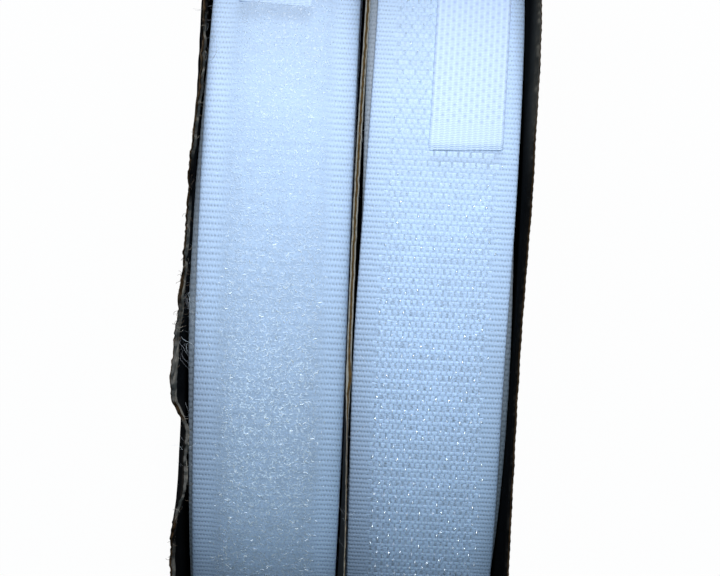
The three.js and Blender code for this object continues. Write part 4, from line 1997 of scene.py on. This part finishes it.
    def build_cells(self, yarn: bpy.types.Material, clear: bpy.types.Material) -> None:
        """The woven floats of the hook tape and the clear hooks that stand between them."""
        across, lengths = self.cell_rows()
        draw = np.random.default_rng(81)
        count = len(across)
        loose = across + draw.normal(0.0, 0.03, count)
        angles = draw.normal(0.0, 0.03, count)
        spans = ((0.93, 1.05), (0.92, 1.08), (0.8, 1.25))
        size = triples(*(draw.uniform(*span, count) for span in spans))
        size[:, 2] *= 0.45 + 0.55 * rise(-np.abs(across), -8.0, -6.0)
        marks = {"run": self.turned(lengths, angles), "scale": size, "tone": draw.random(count)}
        seat = self.ground + self.crown_at(loose)
        floats = self.planted(f"{self.side}_weave_floats", loose, lengths, seat, marks)
        WovenFloats(width=1.46, length=1.0, height=0.016, sink=0.03).grow(floats, yarn)
        settle(floats, self.body, self.slot)
        beside = across + self.cell / 2 + draw.normal(0.0, 0.1, count)
        pressed = self.winding.run(1.0) - self.strip.length - 1.0
        covered = (lengths > pressed) & (np.abs(beside - self.strip.aside) < self.strip.width / 2 + 0.3)
        stand = (np.abs(beside) < self.field_half + 0.8) & ~covered
        beside, starts = beside[stand], lengths[stand] + draw.normal(0.0, 0.18, stand.sum())
        count = len(beside)
        way = np.where(draw.random(count) < 0.5, 0.0, math.pi) + draw.normal(0.0, 0.5, count)
        tall = draw.uniform(0.85, 1.1, count)
        marks = {
            "run": self.turned(starts, way),
            "scale": triples(tall, tall * draw.uniform(0.8, 1.3, count), tall),
            "tone": draw.random(count) * self.forward(starts),
        }
        hooks = self.planted(f"{self.side}_wire_hooks", beside, starts, self.ground - 0.05, marks)
        WireHooks(height=0.85, bend=0.12, thickness=0.26).grow(hooks, clear)
        hooks.visible_shadow = False
        settle(hooks, self.body, self.slot)

    def build(self) -> None:
        """Builds the whole roll."""
        hole = 0.43
        name = f"{self.side}_tape_weave"
        strip_end = self.winding.run(1.0) - self.strip.length
        first, last = (self.winding.run(turn) for turn in self.winding.loose)
        edges = (strip_end, self.strip.aside, (first, last))
        weave = WovenTape(name, TAPE_TINT, self.rib_pitch, hole, self.field_half, self.middle, *edges).build()
        self.build_ground(weave)
        self.build_filling(weave)
        if self.middle is Field.LOOPS:
            self.build_pile(LOOSE_PILE.build())
        else:
            yarn = FloatYarn("cell_yarn", TAPE_TINT, strands=4).build()
            self.build_cells(yarn, HOOK_WIRE.build())
        self.strip.build(self.side, self.winding, self.ground)


LOOP_DRIFTS = (
    Drift(middle=0.77, reach=0.1, aside=0.57),
    Drift(middle=1.838, reach=0.042, aside=-0.58),
    Drift(middle=1.4, reach=0.2, aside=0.2),
)
HOOK_DRIFTS = (
    Drift(middle=0.93, reach=0.055, aside=0.54),
    Drift(middle=0.81, reach=0.04, aside=-0.36),
    Drift(middle=0.7, reach=0.05, aside=0.36),
    Drift(middle=1.91, reach=0.07, aside=-0.58),
    Drift(middle=1.78, reach=0.07, aside=0.6),
    Drift(middle=1.3, reach=0.2, aside=0.15),
)
LOOP_STRIP = EndStrip(length=34.9, aside=-1.38, slant=0.0, taper=0.0, skew=0.65, dip=0.12, seat=0.4)
HOOK_STRIP = EndStrip(length=54.8, aside=3.05, slant=0.026, taper=0.02, skew=-0.45, dip=0.1, seat=0.12)


@dataclass
class Studio:
    """The camera over the open carton, the pale floor and the soft light from behind.

    Attributes:
        eye: Where the camera is.
        roll: How far the camera is turned about its view.
        lens: Its focal length.
        sensor: The width of its sensor.
        key: The way to the main lamp from the rolls.
        key_level: How bright the main lamp lights a face turned to it.
        key_size: Its width and height in metres.
        fill: The way to the weak lamp at the front.
        fill_level: How bright that lamp lights a face turned to it.
        fill_size: Its width and height in metres.
        fill_tint: Its colour.
        ambient: The colour and level that the surroundings light everything with.
    """

    eye: tuple[float, float, float] = (1.0, -5.0, 384.2)
    roll: float = math.radians(2.9)
    lens: float = 92.2
    sensor: float = 36.0
    key: tuple[float, float, float] = (0.03, 0.8, 0.6)
    key_level: float = 1.23
    key_size: tuple[float, float] = (0.14, 1.1)
    fill: tuple[float, float, float] = (-0.08, -0.62, 0.76)
    fill_level: float = 0.245
    fill_size: tuple[float, float] = (0.5, 1.2)
    fill_tint: Colour = colour(0.75, 0.95, 1.0)
    ambient: Colour = colour(0.22, 0.255, 0.295)

    def build_camera(self) -> None:
        """Sets the camera to look straight down."""
        data = bpy.data.cameras.new("photo_camera")
        data.lens = self.lens
        data.sensor_width = self.sensor
        data.clip_start = 0.01
        camera = new_piece("photo_camera", data)
        camera.location = Vector(self.eye) * MM
        camera.rotation_euler = (0.0, 0.0, self.roll)
        bpy.context.scene.camera = camera

    def build_lamp(
        self,
        name: str,
        way: Sequence[float],
        level: float,
        size: tuple[float, float],
        tint: Colour,
    ) -> None:
        """Hangs a soft lamp that looks at the rolls.

        Args:
            name: The lamp's name.
            way: The way to it from the rolls.
            level: How bright it lights a white face turned to it.
            size: Its width and height in metres.
            tint: Its colour.
        """
        reach = 1.2
        data = bpy.data.lights.new(name, "AREA")
        data.shape = "RECTANGLE"
        data.size, data.size_y = size
        data.energy = level * (math.pi * reach) ** 2
        data.color = tint[:3]
        lamp = new_piece(name, data)
        towards = Vector(way).normalized()
        lamp.location = Vector((0.0, 0.0, 0.14)) + towards * reach
        lamp.rotation_euler = towards.to_track_quat("Z", "Y").to_euler()

    def seen_directly(self, graph: Graph) -> Flow:
        """1 for rays that come straight from the camera, off a gloss or through something clear."""
        path = graph.add("ShaderNodeLightPath", output="Is Camera Ray").socket.node
        kinds = ("Is Camera Ray", "Is Glossy Ray", "Is Transmission Ray")
        straight, gloss, clear = (Flow(graph, path.outputs[kind]) for kind in kinds)
        return straight.most(gloss).most(clear)

    def build_world(self) -> None:
        """Makes the white surroundings, which light the object more softly than they look."""
        world = bpy.data.worlds.new("white_room")
        world.use_nodes = True
        graph = Graph(world.node_tree)
        bpy.context.scene.world = world
        tone = graph.blend(self.ambient, WHITE, self.seen_directly(graph))
        sky = next(node for node in world.node_tree.nodes if node.type == "BACKGROUND")
        graph.feed(sky.inputs["Color"], tone)

    def build_floor(self) -> None:
        """Lays the pale floor, which looks white and keeps the object's shadow."""
        reach = 3000.0
        corners = [(-reach, -reach, 0.0), (reach, -reach, 0.0), (reach, reach, 0.0), (-reach, reach, 0.0)]
        mesh = bpy.data.meshes.new("pale_floor")
        mesh.from_pydata([tuple(value * MM for value in corner) for corner in corners], [], [(0, 1, 2, 3)])
        floor = new_piece("pale_floor", mesh)
        graph = Paint("floor_paint")
        matte = graph.dress({"Base Color": colour(0.9, 0.9, 0.9), "Roughness": 0.9})
        glow = graph.add("ShaderNodeEmission", sockets={"Color": WHITE, "Strength": 1.0})
        share = self.seen_directly(graph) * 0.93
        surface = Flow(graph, graph.shader.outputs["BSDF"])
        mixed = graph.add("ShaderNodeMixShader", sockets={0: share, 1: surface, 2: glow})
        output = next(node for node in graph.tree.nodes if node.type == "OUTPUT_MATERIAL")
        graph.feed(output.inputs["Surface"], mixed)
        mesh.materials.append(matte)

    def build(self) -> None:
        """Builds the studio."""
        bpy.context.scene.view_settings.view_transform = "Standard"
        self.build_camera()
        self.build_lamp("soft_key", self.key, self.key_level, self.key_size, WHITE)
        self.build_lamp("front_fill", self.fill, self.fill_level, self.fill_size, self.fill_tint)
        self.build_world()
        self.build_floor()


def main() -> None:
    """Builds the studio, the carton and the two rolls."""
    logging.basicConfig(level=logging.INFO, format="%(message)s")
    Studio().build()
    Carton().build()
    Partition().build()
    for side in ("loop", "hook"):
        CardTube(f"{side}_core", f"{side}_tube").build()
    TapeRoll("loop", Field.LOOPS, LOOP_DRIFTS, rib_pitch=0.78, strip=LOOP_STRIP).build()
    TapeRoll("hook", Field.HOOKS, HOOK_DRIFTS, rib_pitch=0.7, strip=HOOK_STRIP, field_half=7.2).build()


if __name__ == "__main__":
    main()
